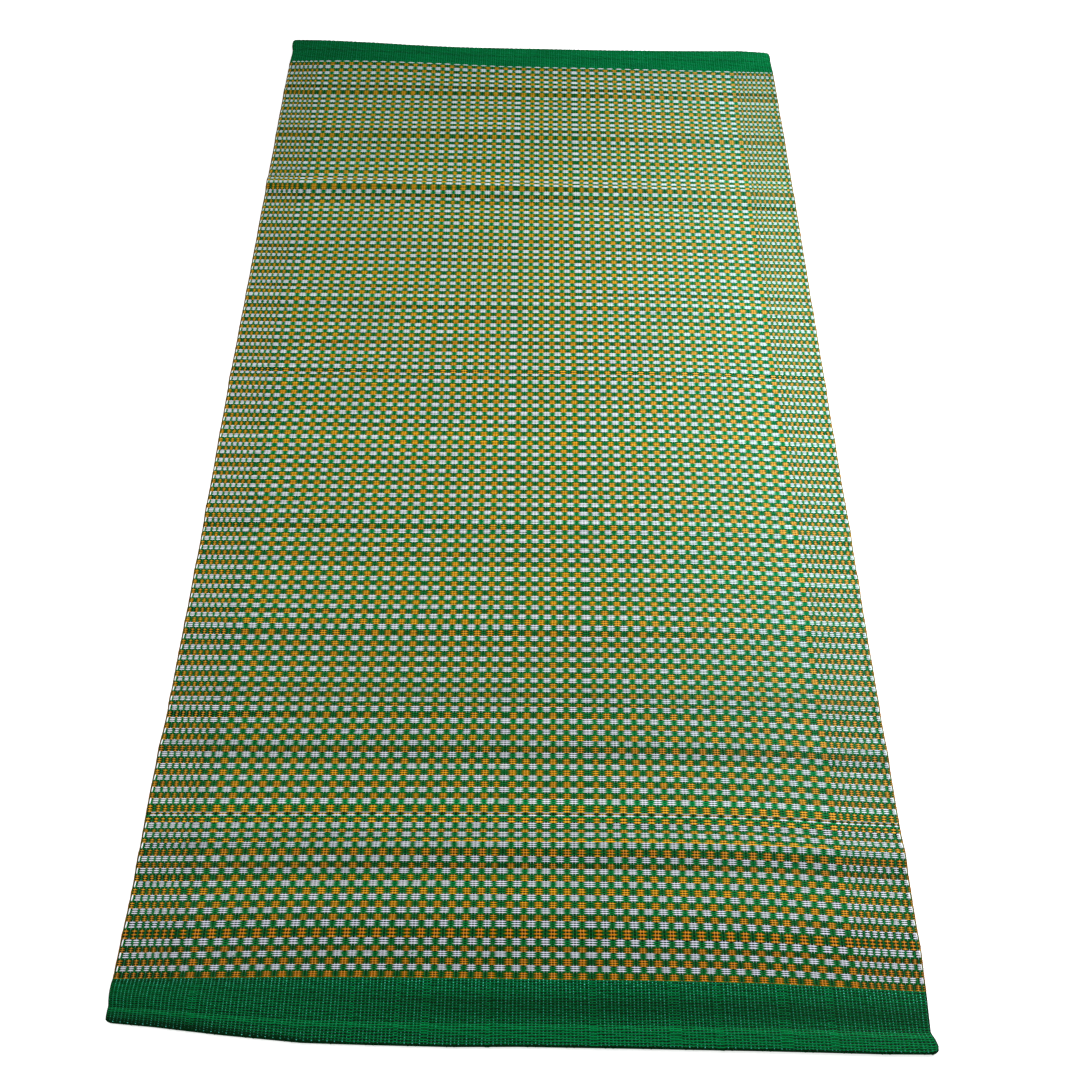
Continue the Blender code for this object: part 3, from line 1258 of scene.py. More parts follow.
@dataclass
class HemWeave:
    """One plain green hem: close rows of thin straw that pass over and under thin pale warp threads."""

    surface: MatSurface
    near: bool
    weft_pitch: float = 1.44 * MM
    warp_pitch: float = 4.17 * MM
    # How far in from the selvedges the outermost warp ends lie
    inner: float = 1.2 * MM
    # Rows nearer to the rolled edge than this take painted shade and carry no warp floats
    edge_width: float = 1.2 * MM
    # The weave stops this far inside the cloth's ends
    end_margin: float = 0.02 * MM
    # Height of the foot and of the top of a warp float
    dot_foot: float = 0.14 * MM
    dot_height: float = 0.66 * MM
    # How bright every other warp float is, and those between
    bright: tuple[float, float] = (0.98, 0.50)
    far_worn: float = 0.42
    # Places across where neighbouring warp ends pass over the same rows, and the width of each
    alike_places: tuple[tuple[float, float], ...] = (
        (0.096, 0.008),
        (0.268, 0.006),
        (0.318, 0.006),
        (0.348, 0.009),
        (0.418, 0.008),
        (0.534, 0.008),
        (0.623, 0.010),
        (0.672, 0.008),
        (0.743, 0.013),
        (0.794, 0.009),
    )

    def _rows(self) -> np.ndarray:
        """Space the rows evenly over the folded and rounded end.

        Returns:
            Distance along of every row.
        """
        start, end = (0.0, FIELD_START) if self.near else (FIELD_END, MAT_LENGTH)
        ys = np.linspace(start, end, 4000)
        heights = self.surface.fold_height(ys)
        arc = np.concatenate(([0.0], np.cumsum(np.hypot(np.diff(ys), np.diff(heights)))))
        number = 2 * int(arc[-1] / self.weft_pitch / 2)
        return np.interp((np.arange(number) + 0.5) * arc[-1] / number, arc, ys)

    def _calm(self, xs: np.ndarray, along: float) -> np.ndarray:
        """Tell pressed cloth from the open weave.

        Args:
            xs: plan x.
            along: the row's distance along.

        Returns:
            1 where the doubled cloth is pressed smooth, 0 on the open weave.
        """
        if not self.near:
            return np.full_like(xs, 0.8)
        distance = along / MM
        front = np.interp(xs, (0.30, 0.50), (15.0, 2.5))
        return smooth_step((26.0 - distance) / 4.0) * smooth_step((distance - front) / 3.0)

    def _shaded(self, xs: np.ndarray, along: float) -> np.ndarray:
        """Paint shade on the very edge and the rolled corner, darken a dull band at the right, and paint the
        far hem lighter toward the right.

        Args:
            xs: plan x.
            along: the row's distance along.

        Returns:
            How bright the row stays.
        """
        distance = min(along, MAT_LENGTH - along) / MM
        if distance < self.edge_width / MM:
            return np.full_like(xs, 0.15)
        if not self.near:
            patches = 0.5 + 0.5 * wave(xs / 0.16 + 0.2) * wave(xs / 0.47 + distance / 60)
            return (0.68 + 0.36 * xs / PLAN_WIDTH) * (1 - 0.18 * patches)
        band = soft_bump(distance - 42.0, 17.0) * smooth_step((xs - 0.22) / 0.2)
        front = np.interp(xs, (0.0, 0.10, 0.28), (9.0, 10.0, 2.0))
        rolled = 1 - smooth_step((distance - 0.45 * front) / front)
        return (1 - 0.42 * band) * (1 - 0.88 * rolled * smooth_step((0.30 - xs) / 0.06))

    def build(self, finishes: Finishes) -> bpy.types.Object:
        """Make the hem's rows and its warp floats.

        Args:
            finishes: the material of each kind.

        Returns:
            The hem.
        """
        mesh = PieceMesh("near_hem_weave" if self.near else "far_hem_weave")
        random = np.random.default_rng(7 if self.near else 8)
        rows = self._rows()
        warps = np.arange(self.inner + self.warp_pitch, PLAN_WIDTH - self.inner, self.warp_pitch)
        warps = warps + random.normal(0.0, 0.22 * MM, len(warps))
        warps = np.concatenate(([self.inner], warps, [PLAN_WIDTH - self.inner]))
        alike = np.zeros(len(warps), dtype=bool)
        if self.near:
            for place, width in self.alike_places:
                alike |= np.abs(warps - place) < width / 2
        phase = np.cumsum(~alike)
        bake = BakeRows(0.0, PLAN_WIDTH, 2 * len(rows), columns=2)
        for index, along in enumerate(rows):
            over = (phase + index) % 2 == 0
            partner = rows[index + 1] if index % 2 == 0 else rows[index - 1]
            self._add_row(mesh, warps, over, along, (along + partner) / 2, index, bake, random)
            self._add_dots(mesh, warps, ~over, alike, along, bake, len(rows) + index, random)
        return mesh.build(finishes)

    def _add_row(
        self,
        mesh: PieceMesh,
        warps: np.ndarray,
        over: np.ndarray,
        along: float,
        meeting: float,
        index: int,
        bake: BakeRows,
        random: np.random.Generator,
    ) -> None:
        """Add one row of straw; between warp ends it meets its neighbour, so that pairs wind along together.

        Args:
            mesh: the hem's piece.
            warps: plan x of the warp ends.
            over: at which of them the row lies on top.
            along: the row's distance along.
            meeting: where it meets its neighbour.
            index: its number and texture row.
            bake: the piece's texture rows.
            random: the hem's own draws.
        """
        number = len(warps)
        steps = 2 if self.near else 1
        sections = steps * (number - 1) + 1
        xs = np.interp(np.arange(sections) / steps, np.arange(number), warps)
        crossing = np.arange(sections) % steps == 0
        turning = np.append(over[:-1] != over[1:], True)
        share = np.repeat(np.where(turning, 0.5, over.astype(float)), steps)[:sections]
        share[crossing] = over
        meets = ~crossing & np.repeat(turning, steps)[:sections]
        line = np.where(meets, meeting, along) + 0.26 * MM * wave(xs / 0.043 + (index // 2) * 0.31)
        line = line + np.where(share > 0.9, 0.10 * MM, 0.0)
        calm = self._calm(xs, along)
        half = (0.34 + 0.26 * share + 0.10 * calm) * MM
        high = (0.10 + 0.56 * share) * MM * random.uniform(0.85, 1.1, sections)
        across = np.tile(np.array((-1.0, 0.0, 1.0)), (sections, 1))
        grid_x = np.repeat(xs[:, None], 3, axis=1)
        grid_y = line[:, None] + across * half[:, None]
        grid_y = np.clip(grid_y, self.end_margin, MAT_LENGTH - self.end_margin)
        low = np.full(sections, STRAW_FOOT)
        # Painted shade: the row is darkest where it dips under a warp end, less so where the doubled cloth is
        # pressed smooth
        tone = 0.06 + (0.42 * calm) * (1 - share) + 0.74 * share
        tone = tone + random.normal(0.0, 0.04) + random.normal(0.0, 0.06, sections)
        # Painted shade of the edge and the rolled corner, and painted light growing toward the right on the
        # far hem
        tone = np.repeat(np.clip(tone * self._shaded(xs, along), 0, 1), 3)
        mesh.lay(
            self.surface,
            Straw.HEM,
            (grid_x, grid_y, np.column_stack((low, high, low))),
            (grid_x / STRAW_MAP_REACH, across),
            straw_form(tone),
            bake.places(grid_x, across, index),
        )

    def _add_dots(
        self,
        mesh: PieceMesh,
        warps: np.ndarray,
        shown: np.ndarray,
        alike: np.ndarray,
        along: float,
        bake: BakeRows,
        row: int,
        random: np.random.Generator,
    ) -> None:
        """Add the short warp floats over one row; every other warp end is a brighter one.

        Args:
            mesh: the hem's piece.
            warps: plan x of the warp ends.
            shown: which of them lie over the row.
            alike: which of them pass over the same rows as their neighbour.
            along: the row's distance along.
            bake: the piece's texture rows.
            row: the floats' texture row.
            random: the hem's own draws.
        """
        distance = min(along, MAT_LENGTH - along)
        shown = shown & (distance > self.edge_width)
        shown[[0, -1]] = False
        middles = warps[shown]
        number = len(middles)
        if not number:
            return
        size = np.where(alike[shown], 0.75, 1.0)
        half_length = 0.50 * MM * size * random.uniform(0.8, 1.15, number)
        half_width = 0.70 * MM * size * random.uniform(0.75, 1.2, number)
        pattern = FloatShape.DROP.value
        across_x = np.tile(np.array((0.0, 1.0, 0.0, -1.0, 0.0)), (number, 1))
        across_y = np.tile(np.array((-1.0, 0.0, 0.0, 0.0, 1.0)), (number, 1))
        grid_x = middles[:, None] + half_width[:, None] * across_x
        grid_y = along + half_length[:, None] * across_y
        grid_y = np.clip(grid_y, self.end_margin, MAT_LENGTH - self.end_margin)
        ridge = self.dot_height * random.uniform(0.8, 1.1, number)
        worn = self.far_worn
        if self.near:
            worn = 1.0 - 0.50 * smooth_step((FIELD_START - along - 3 * MM) / (16 * MM))
        bright = np.where(np.flatnonzero(shown) % 2 == 0, *self.bright)
        tone = np.clip(bright + random.normal(0.0, 0.20, number), 0, 1)
        tone = tone * worn * (1 - 0.5 * self._calm(middles, along))
        # The painted shade of the edge and the rolled corner dims the floats too
        tone = tone * (0.4 + 0.6 * self._shaded(middles, along))
        if self.near and distance < 3.2 * MM:
            tone = np.maximum(tone, 0.75 * bright)
        mesh.lay(
            self.surface,
            Straw.WARP,
            (grid_x, grid_y, pattern.heights(ridge, self.dot_foot)),
            (0.5 + 0.5 * across_y, across_x),
            straw_form(np.repeat(tone, len(pattern.across)), 0.5, 1.0),
            bake.places(grid_x, across_y, row),
            pattern.faces(number),
        )


@dataclass
class GroundCloth:
    """The closed cloth that carries the straws, with the reversed check on its underside."""

    surface: MatSurface
    plan: WeavePlan
    # Grid lines of the rolled edge and the fold, and of the hems' open weave, from each end
    hem_steps: tuple[float, ...] = (
        0.0, 0.0003, 0.0009, 0.0019, 0.004, 0.010, 0.0165, 0.0185, 0.0205, 0.0225, 0.0245, 0.027
    )
    near_steps: tuple[float, ...] = (0.034, 0.044, 0.054, 0.064)
    far_steps: tuple[float, ...] = (0.034, 0.044)
    # How far the top sinks and the underside rises at the selvedges
    side_drop: float = 0.45 * MM
    # Texture map: where the top and the underside begin in u, and the width and height of each
    bake_left: tuple[float, float] = (0.012, 0.518)
    bake_low: float = 0.014
    bake_size: tuple[float, float] = (0.47, 0.972)

    def _lines(self) -> tuple[np.ndarray, np.ndarray]:
        """Place grid lines on the edges of the blocks and of the bands, and on the hem's own steps.

        Returns:
            Plan x of the lines along the mat, and plan y of those across it.
        """
        columns = self.plan.columns
        xs = [0.0, *(column.left for column in columns), columns[-1].right, PLAN_WIDTH]
        ends = [band.end for band in self.plan.bands if band.kind in (BandKind.LINE, BandKind.WHITE)]
        far = [MAT_LENGTH - step for step in reversed((*self.hem_steps, *self.far_steps))]
        return np.array(xs), np.array([*self.hem_steps, *self.near_steps, FIELD_START, *ends, *far])

    def build(self, finishes: Finishes) -> bpy.types.Object:
        """Make the cloth as one closed mesh.

        Args:
            finishes: the material of each kind.

        Returns:
            The cloth.
        """
        mesh = PieceMesh("ground_cloth")
        xs, ys = self._lines()
        wide, long = len(xs), len(ys)
        grid_x, grid_y = (part.ravel() for part in np.meshgrid(xs, ys))
        drop = np.where((grid_x <= 0) | (grid_x >= PLAN_WIDTH), self.side_drop, 0.0)
        inward = np.clip(END_RADIUS - np.minimum(grid_y, MAT_LENGTH - grid_y), 0, 0.98 * END_RADIUS)
        curl = END_RADIUS - np.sqrt(END_RADIUS**2 - inward**2)
        top = self.surface.place(grid_x, grid_y, -drop)
        bottom = self.surface.under(grid_x, grid_y, 0.9 * curl + drop)
        bottom_quads = ribbon_faces(long, wide) + wide * long
        top_quads = ribbon_faces(long, wide)[:, [0, 3, 2, 1]]
        rim_quads, rim_places = self._rim(wide, long)
        u = self.bake_size[0] * grid_x / PLAN_WIDTH
        v = self.bake_low + self.bake_size[1] * grid_y / MAT_LENGTH
        places = np.concatenate([np.column_stack((left + u, v)) for left in self.bake_left])
        ground = mesh.slot_of(Straw.GROUND)
        slots = [
            np.full(len(top_quads), ground),
            self._underside_slots(mesh, xs, ys),
            np.full(len(rim_quads), ground),
        ]
        mesh.add(
            Straw.GROUND,
            np.concatenate((top, bottom)),
            [top_quads, bottom_quads, rim_quads],
            np.tile(np.column_stack((grid_x, grid_y)), (2, 1)),
            straw_form(np.full(2 * wide * long, 0.5)),
            [places[top_quads.ravel()], places[bottom_quads.ravel()], rim_places],
            slots,
        )
        return mesh.build(finishes)

    def _underside_slots(self, mesh: PieceMesh, xs: np.ndarray, ys: np.ndarray) -> np.ndarray:
        """Give each block of the underside its finish: the reverse of the top.

        Args:
            mesh: the cloth's piece.
            xs, ys: the grid lines.

        Returns:
            The kind number of each face.
        """
        across = (xs[:-1] + xs[1:]) / 2
        along = (ys[:-1] + ys[1:]) / 2
        slots = np.full((len(along), len(across)), mesh.slot_of(Straw.UNDER_GREEN))
        blocks = {True: np.zeros(len(across), dtype=bool), False: np.zeros(len(across), dtype=bool)}
        for column in self.plan.columns:
            blocks[column.orange] |= (across > column.left) & (across < column.right)
        reverse = {BandKind.ORANGE: (Straw.UNDER_ORANGE, False), BandKind.WHITE: (Straw.UNDER_WHITE, True)}
        for band in self.plan.bands:
            if band.kind in reverse:
                kind, orange = reverse[band.kind]
                rows = (along > band.start) & (along < band.end)
                slots[np.ix_(rows, blocks[orange])] = mesh.slot_of(kind)
        return slots.ravel()

    def _rim(self, wide: int, long: int) -> tuple[np.ndarray, np.ndarray]:
        """Join top and underside round the outline.

        Args:
            wide: number of points across the mat.
            long: number of points along it.

        Returns:
            The quads, and the texture places of their corners in narrow strips beside the two faces.
        """
        near = np.arange(wide - 1)
        far = near + wide * (long - 1)
        left = np.arange(long - 1) * wide
        right = left + wide - 1
        u = self.bake_left[0] + self.bake_size[0] * np.arange(wide) / (wide - 1)
        v = self.bake_low + self.bake_size[1] * np.arange(long) / (long - 1)
        # First and second point of each quad, their places along the strip, the strip's two sides, and
        # whether it stands upright on the map
        edges = (
            (near + 1, near, u[1:], u[:-1], (0.001, 0.007), False),
            (far, far + 1, u[1:], u[:-1], (0.993, 0.999), False),
            (left, left + wide, v[:-1], v[1:], (0.490, 0.496), True),
            (right + wide, right, v[:-1], v[1:], (0.504, 0.510), True),
        )
        quads = []
        places = []
        for first, second, start, end, (low, high), upright in edges:
            quads.append(np.column_stack((first, second, second + wide * long, first + wide * long)))
            pairs = ((start, low), (end, low), (end, high), (start, high))
            corners = np.stack([np.column_stack(np.broadcast_arrays(*pair)) for pair in pairs], axis=1)
            places.append(corners[..., ::-1] if upright else corners)
        return np.concatenate(quads), np.concatenate(places)


def tube(path: np.ndarray, radii: np.ndarray, sides: int) -> tuple[np.ndarray, list[np.ndarray]]:
    """Make a round cord along a path, closed at both ends.

    Args:
        path: one row for each point of the middle line.
        radii: the radius at each point.
        sides: how many sides the cord has.

    Returns:
        The points, and the faces by number of corners.
    """
    ahead = np.gradient(path, axis=0)
    ahead /= np.linalg.norm(ahead, axis=1)[:, None]
    beside = np.cross(ahead, np.array((0.0, 0.0, 1.0)))
    beside /= np.maximum(np.linalg.norm(beside, axis=1)[:, None], 1e-9)
    over = np.cross(beside, ahead)
    turns = np.arange(sides)[None, :, None] * 2 * np.pi / sides
    ring = np.cos(turns) * beside[:, None, :] + np.sin(turns) * over[:, None, :]
    points = (path[:, None, :] + ring * radii[:, None, None]).reshape(-1, 3)
    start = np.arange(len(path) - 1)[:, None] * sides
    here = np.arange(sides)[None, :]
    following = (here + 1) % sides
    after = start + sides
    quads = np.stack((start + here, after + here, after + following, start + following), axis=-1)
    last = (len(path) - 1) * sides
    caps = np.stack((here[0], last + here[0][::-1]))
    return points, [quads.reshape(-1, 4), caps]


def tube_places(
    faces: list[np.ndarray],
    stations: np.ndarray,
    skin: tuple[float, float],
    disc: tuple[float, float],
    heights: tuple[float, float],
) -> list[np.ndarray]:
    """Unroll a tube on its texture map, with a small disc for each end.

    Args:
        faces: the tube's quads and its two ends.
        stations: v of each of its rings.
        skin: where its skin begins in u, and how wide it is.
        disc: u of the middle of both discs, and their radius.
        heights: v of the middle of each disc.

    Returns:
        One array of corner places for each array of faces.
    """
    quads, caps = faces
    sides = caps.shape[1]
    side = quads % sides
    wrapped = np.where((side == 0) & (side[:, :1] == sides - 1), sides, side)
    unrolled = np.stack((skin[0] + skin[1] * wrapped / sides, stations[quads // sides]), axis=-1)
    turn = 2 * np.pi * np.arange(sides) / sides
    u = np.tile(disc[0] + disc[1] * np.cos(turn), (2, 1))
    v = np.array(heights)[:, None] + disc[1] * np.sin(turn)
    return [unrolled, np.stack((u, v), axis=-1)]


@dataclass(frozen=True)
class EdgeCord:
    """One cord of a selvedge: its kind, how far in it lies, its radius, its height and where it thins."""

    kind: Straw
    inset: float
    radius: float
    lift: float
    # Its radius beside bands that aren't orange, as a share
    slim: float


@dataclass
class Selvedges:
    """The two woven edges: a rust cord outside, a green one inside it, white turns beside the white bands."""

    surface: MatSurface
    plan: WeavePlan
    cords: tuple[EdgeCord, ...] = (
        EdgeCord(Straw.CORD, 0.5 * MM, 0.66 * MM, -0.25 * MM, 0.72),
        EdgeCord(Straw.LINE, 1.4 * MM, 0.45 * MM, 0.05 * MM, 1.0),
    )
    sides: int = 6
    # White turns, at the left and at the right: how far in, half width, and how far they lean
    left_turn: tuple[float, float, float] = (2.9 * MM, 0.95 * MM, 0.22 * MM)
    right_turn: tuple[float, float, float] = (2.1 * MM, 0.72 * MM, -0.22 * MM)
    turn_height: float = 1.0 * MM

    def build(self, finishes: Finishes) -> list[bpy.types.Object]:
        """Make both edges."""
        return [self._side(finishes, left) for left in (True, False)]

    def _side(self, finishes: Finishes, left: bool) -> bpy.types.Object:
        """Make one edge as one piece.

        Args:
            finishes: the material of each kind.
            left: whether it is the left edge.

        Returns:
            The edge.
        """
        mesh = PieceMesh("left_selvedge" if left else "right_selvedge")
        random = np.random.default_rng(51 if left else 52)
        for index, cord in enumerate(self.cords):
            self._cord(mesh, cord, left, index, random)
        self._turns(mesh, left, random)
        return mesh.build(finishes)

    def _cord(
        self, mesh: PieceMesh, cord: EdgeCord, left: bool, index: int, random: np.random.Generator
    ) -> None:
        """Add one lengthwise cord, thicker beside its own bands.

        Args:
            mesh: the edge's piece.
            cord: the cord's sizes.
            left: whether it is the left edge.
            index: its column on the texture map.
            random: the edge's own draws.
        """
        bands = self.plan.bands
        swell = [1.0 if band.kind is BandKind.ORANGE else cord.slim for band in bands]
        ys = np.array([FIELD_START, *(band.middle for band in bands), FIELD_END])
        radii = cord.radius * np.array([0.8, *swell, 0.8]) * random.uniform(0.9, 1.1, len(ys))
        xs = cord.inset + random.normal(0.0, 0.12 * MM, len(ys))
        xs = xs if left else PLAN_WIDTH - xs
        points, faces = tube(self.surface.place(xs, ys, np.full(len(ys), cord.lift)), radii, self.sides)
        around = np.tile(np.arange(self.sides) / self.sides, len(ys))
        straw = np.column_stack((np.repeat(ys, self.sides) / STRAW_MAP_REACH, around))
        tone = np.repeat(np.clip(random.normal(0.3, 0.16, len(ys)), 0, 1), self.sides)
        low = 0.02 + 0.32 * index
        places = tube_places(
            faces, 0.02 + 0.96 * ys / MAT_LENGTH, (low, 0.28), (low + 0.15, 0.004), (0.010, 0.990)
        )
        form = straw_form(tone, offset=END_SPREAD / STRAW_MAP_REACH)
        mesh.add(cord.kind, points, faces, straw, form, places)

    def _turns(self, mesh: PieceMesh, left: bool, random: np.random.Generator) -> None:
        """Add the white straw's turn beside every white band.

        Args:
            mesh: the edge's piece.
            left: whether it is the left edge.
            random: the edge's own draws.
        """
        bands = [band for band in self.plan.bands if band.kind is BandKind.WHITE and band.picks > 1]
        number = len(bands)
        inset, width, lean = self.left_turn if left else self.right_turn
        middle_x = (inset if left else PLAN_WIDTH - inset) + random.normal(0.0, 0.10 * MM, number)
        half_width = width * random.uniform(0.85, 1.1, number)
        middle_y = np.array([band.middle for band in bands])
        half_length = np.array([(band.end - band.start) * 0.60 for band in bands])
        across_x = np.tile(np.array((0.0, 1.0, 0.0, -1.0, 1.0, 0.0, -1.0, 0.0)), (number, 1))
        across_y = np.tile(np.array((-1.0, -0.6, -0.6, -0.6, 0.6, 0.6, 0.6, 1.0)), (number, 1))
        grid_x = middle_x[:, None] + half_width[:, None] * across_x + lean * across_y
        grid_y = middle_y[:, None] + half_length[:, None] * across_y
        pattern = FloatShape.LENS.value
        lifts = pattern.heights(self.turn_height * random.uniform(0.9, 1.1, number))
        tone = np.repeat(np.clip(random.normal(0.85, 0.1, number), 0, 1), len(pattern.across))
        share = 0.02 + 0.96 * grid_y / MAT_LENGTH
        mesh.lay(
            self.surface,
            Straw.WHITE,
            (grid_x, grid_y, lifts),
            (PLAIN_SHARE, across_x),
            straw_form(tone, offset=END_SPREAD / STRAW_MAP_REACH),
            np.column_stack(((0.80 + 0.12 * across_x).ravel(), share.ravel())),
            pattern.faces(number),
        )


@dataclass
class LooseThreads:
    """Short loose ends: pale thread along the sewn lines and a few frays in the field."""

    surface: MatSurface
    sides: int = 5
    sections: int = 9
    # Kind, first x and y, last x and y, how far the middle stands up and aside, radius
    ends: tuple[tuple[Straw, float, float, float, float, float, float, float], ...] = (
        (Straw.WARP, 0.428, 0.0185, 0.440, 0.0180, 0.0005, 0.0004, 0.00018),
        (Straw.WARP, 0.566, 0.0176, 0.573, 0.0182, 0.0005, 0.0005, 0.00016),
        (Straw.WARP, 0.630, 0.0176, 0.642, 0.0180, 0.0005, -0.0004, 0.00018),
        (Straw.WARP, 0.716, 0.0180, 0.732, 0.0178, 0.0006, 0.0004, 0.00020),
        (Straw.WARP, 0.748, 0.0176, 0.757, 0.0170, 0.0005, 0.0004, 0.00024),
        (Straw.WARP, 0.689, 1.7765, 0.703, 1.7775, 0.0008, 0.0006, 0.00020),
        (Straw.WARP, 0.885, 1.7715, 0.891, 1.7705, 0.0008, 0.0004, 0.00018),
        (Straw.LEAF, 0.326, 0.0985, 0.333, 0.1010, 0.0016, 0.0009, 0.00045),
        (Straw.LEAF, 0.128, 0.0965, 0.134, 0.0990, 0.0015, 0.0010, 0.00042),
        (Straw.WHITE, 0.852, 0.9470, 0.861, 0.9505, 0.0016, 0.0009, 0.00045),
    )

    def build(self, finishes: Finishes) -> bpy.types.Object:
        """Make all loose ends as one piece of thin tubes.

        Args:
            finishes: the material of each kind.

        Returns:
            The loose ends.
        """
        mesh = PieceMesh("loose_threads")
        steps = np.linspace(0.0, 1.0, self.sections)
        arch = np.sin(np.pi * steps)
        around = np.tile(np.arange(self.sides) / self.sides, self.sections)
        straw = np.column_stack((np.repeat(steps, self.sides), around))
        share = 1 / len(self.ends)
        for index, (kind, x1, y1, x2, y2, rise, aside, radius) in enumerate(self.ends):
            xs = x1 + (x2 - x1) * steps
            ys = y1 + (y2 - y1) * steps + aside * arch
            path = self.surface.place(xs, ys, rise * arch - 0.05 * MM)
            points, faces = tube(path, radius * (1 - 0.35 * np.abs(2 * steps - 1)), self.sides)
            form = straw_form(np.full(len(points), 0.8), 0.85 if kind is Straw.WARP else 0.5)
            low = (index + 0.1) * share
            places = tube_places(
                faces, 0.08 + 0.84 * steps, (low, 0.8 * share), (low + 0.03, 0.02), (0.035, 0.965)
            )
            mesh.add(kind, points, faces, straw, form, places)
        return mesh.build(finishes)


class NodeSketch:
    """Adds shader nodes to a tree and joins them."""

    def __init__(self, tree: bpy.types.NodeTree) -> None:
        """Work on one tree."""
        self.tree = tree

    def node(self, kind: str, **settings: object) -> bpy.types.Node:
        """Add a node and set its options.

        Args:
            kind: the node's type.
            settings: its options by name.

        Returns:
            The new node.
        """
        made = self.tree.nodes.new(kind)
        for name, value in settings.items():
            setattr(made, name, value)
        return made

    def feed(self, socket: Socket, value: object) -> None:
        """Give a socket a link, a number or a colour.

        Args:
            socket: the input.
            value: another node's output, or a fixed value.
        """
        if isinstance(value, Socket):
            self.tree.links.new(value, socket)
        else:
            socket.default_value = value

    def maths(self, operation: str, *values: object, clamp: bool = False) -> Socket:
        """Add a Math node.

        Args:
            operation: what it does.
            values: its inputs.
            clamp: whether to hold the result between 0 and 1.

        Returns:
            Its result.
        """
        made = self.node("ShaderNodeMath", operation=operation, use_clamp=clamp)
        for socket, value in zip(made.inputs, values):
            self.feed(socket, value)
        return made.outputs[0]

    def times(self, first: object, second: object) -> Socket:
        """Product of two values."""
        return self.maths("MULTIPLY", first, second)

    def plus(self, first: object, second: object) -> Socket:
        """Sum of two values."""
        return self.maths("ADD", first, second)

    def minus(self, first: object, second: object) -> Socket:
        """Difference of two values."""
        return self.maths("SUBTRACT", first, second)

    def away(self, value: object, centre: object) -> Socket:
        """Distance of a value from a centre."""
        return self.maths("ABSOLUTE", self.minus(value, centre))

    def span(self, value: object, low: float, high: float, to: tuple[float, float] = (0.0, 1.0)) -> Socket:
        """Map a value smoothly from one range to another.

        Args:
            value: the value.
            low, high: the first range.
            to: the second range.

        Returns:
            The mapped value.
        """
        made = self.node("ShaderNodeMapRange", interpolation_type="SMOOTHSTEP")
        labels = ("Value", "From Min", "From Max", "To Min", "To Max")
        for label, part in zip(labels, (value, low, high, *to)):
            self.feed(made.inputs[label], part)
        return made.outputs["Result"]

    def mix(self, factor: object, first: object, second: object) -> Socket:
        """Mix two colours.

        Args:
            factor: how much of the second shows.
            first, second: the colours.

        Returns:
            The mixed colour.
        """
        made = self.node("ShaderNodeMix", data_type="RGBA")
        for index, value in ((0, factor), (6, first), (7, second)):
            self.feed(made.inputs[index], value)
        return made.outputs[2]

    def noise(self, vector: object, scale: float, detail: float = 2.0, roughness: float = 0.5) -> Socket:
        """Add a noise texture.

        Args:
            vector: where it is read.
            scale, detail, roughness: its settings.

        Returns:
            Its value.
        """
        made = self.node("ShaderNodeTexNoise", noise_dimensions="3D")
        settings = {"Vector": vector, "Scale": scale, "Detail": detail, "Roughness": roughness}
        for label, value in settings.items():
            self.feed(made.inputs[label], value)
        return made.outputs[0]

    def vector(self, *parts: object) -> Socket:
        """Join three values into a vector.

        Args:
            parts: x, y and z.

        Returns:
            The vector.
        """
        made = self.node("ShaderNodeCombineXYZ")
        for socket, value in zip(made.inputs, parts):
            self.feed(socket, value)
        return made.outputs[0]

    def parts(self, vector: Socket) -> bpy.types.bpy_prop_collection:
        """Split a vector.

        Args:
            vector: the vector.

        Returns:
            Its x, y and z.
        """
        made = self.node("ShaderNodeSeparateXYZ")
        self.feed(made.inputs[0], vector)
        return made.outputs

    def use(self, group: bpy.types.NodeTree, **values: object) -> bpy.types.bpy_prop_collection:
        """Place a shader group.

        Args:
            group: the group.
            values: what feeds its inputs, named with _ for a space.

        Returns:
            Its outputs.
        """
        made = self.node("ShaderNodeGroup", node_tree=group)
        for name, value in values.items():
            self.feed(made.inputs[name.replace("_", " ")], value)
        return made.outputs


class GroupSketch(NodeSketch):
    """A new shader group of values, with its named sockets."""

    def __init__(self, name: str, inputs: dict[str, float | None], outputs: tuple[str, ...]) -> None:
        """Make the group with its sockets.

        Args:
            name: the group's name.
            inputs: the input's names, each with its first value, or with nothing for a vector.
            outputs: the outputs' names.
        """
        super().__init__(bpy.data.node_groups.new(name, "ShaderNodeTree"))
        sockets = self.tree.interface
        for label, value in inputs.items():
            kind = "NodeSocketVector" if value is None else "NodeSocketFloat"
            socket = sockets.new_socket(label, in_out="INPUT", socket_type=kind)
            if value is not None:
                socket.default_value = value
        for label in outputs:
            sockets.new_socket(label, in_out="OUTPUT", socket_type="NodeSocketFloat")
        self.given = self.node("NodeGroupInput").outputs
        self.result = self.node("NodeGroupOutput").inputs

    def put_out(self, **values: Socket) -> bpy.types.NodeTree:
        """Feed the group's outputs.

        Args:
            values: what feeds each output, by name.

        Returns:
            The finished group.
        """
        for label, value in values.items():
            self.feed(self.result[label], value)
        return self.tree


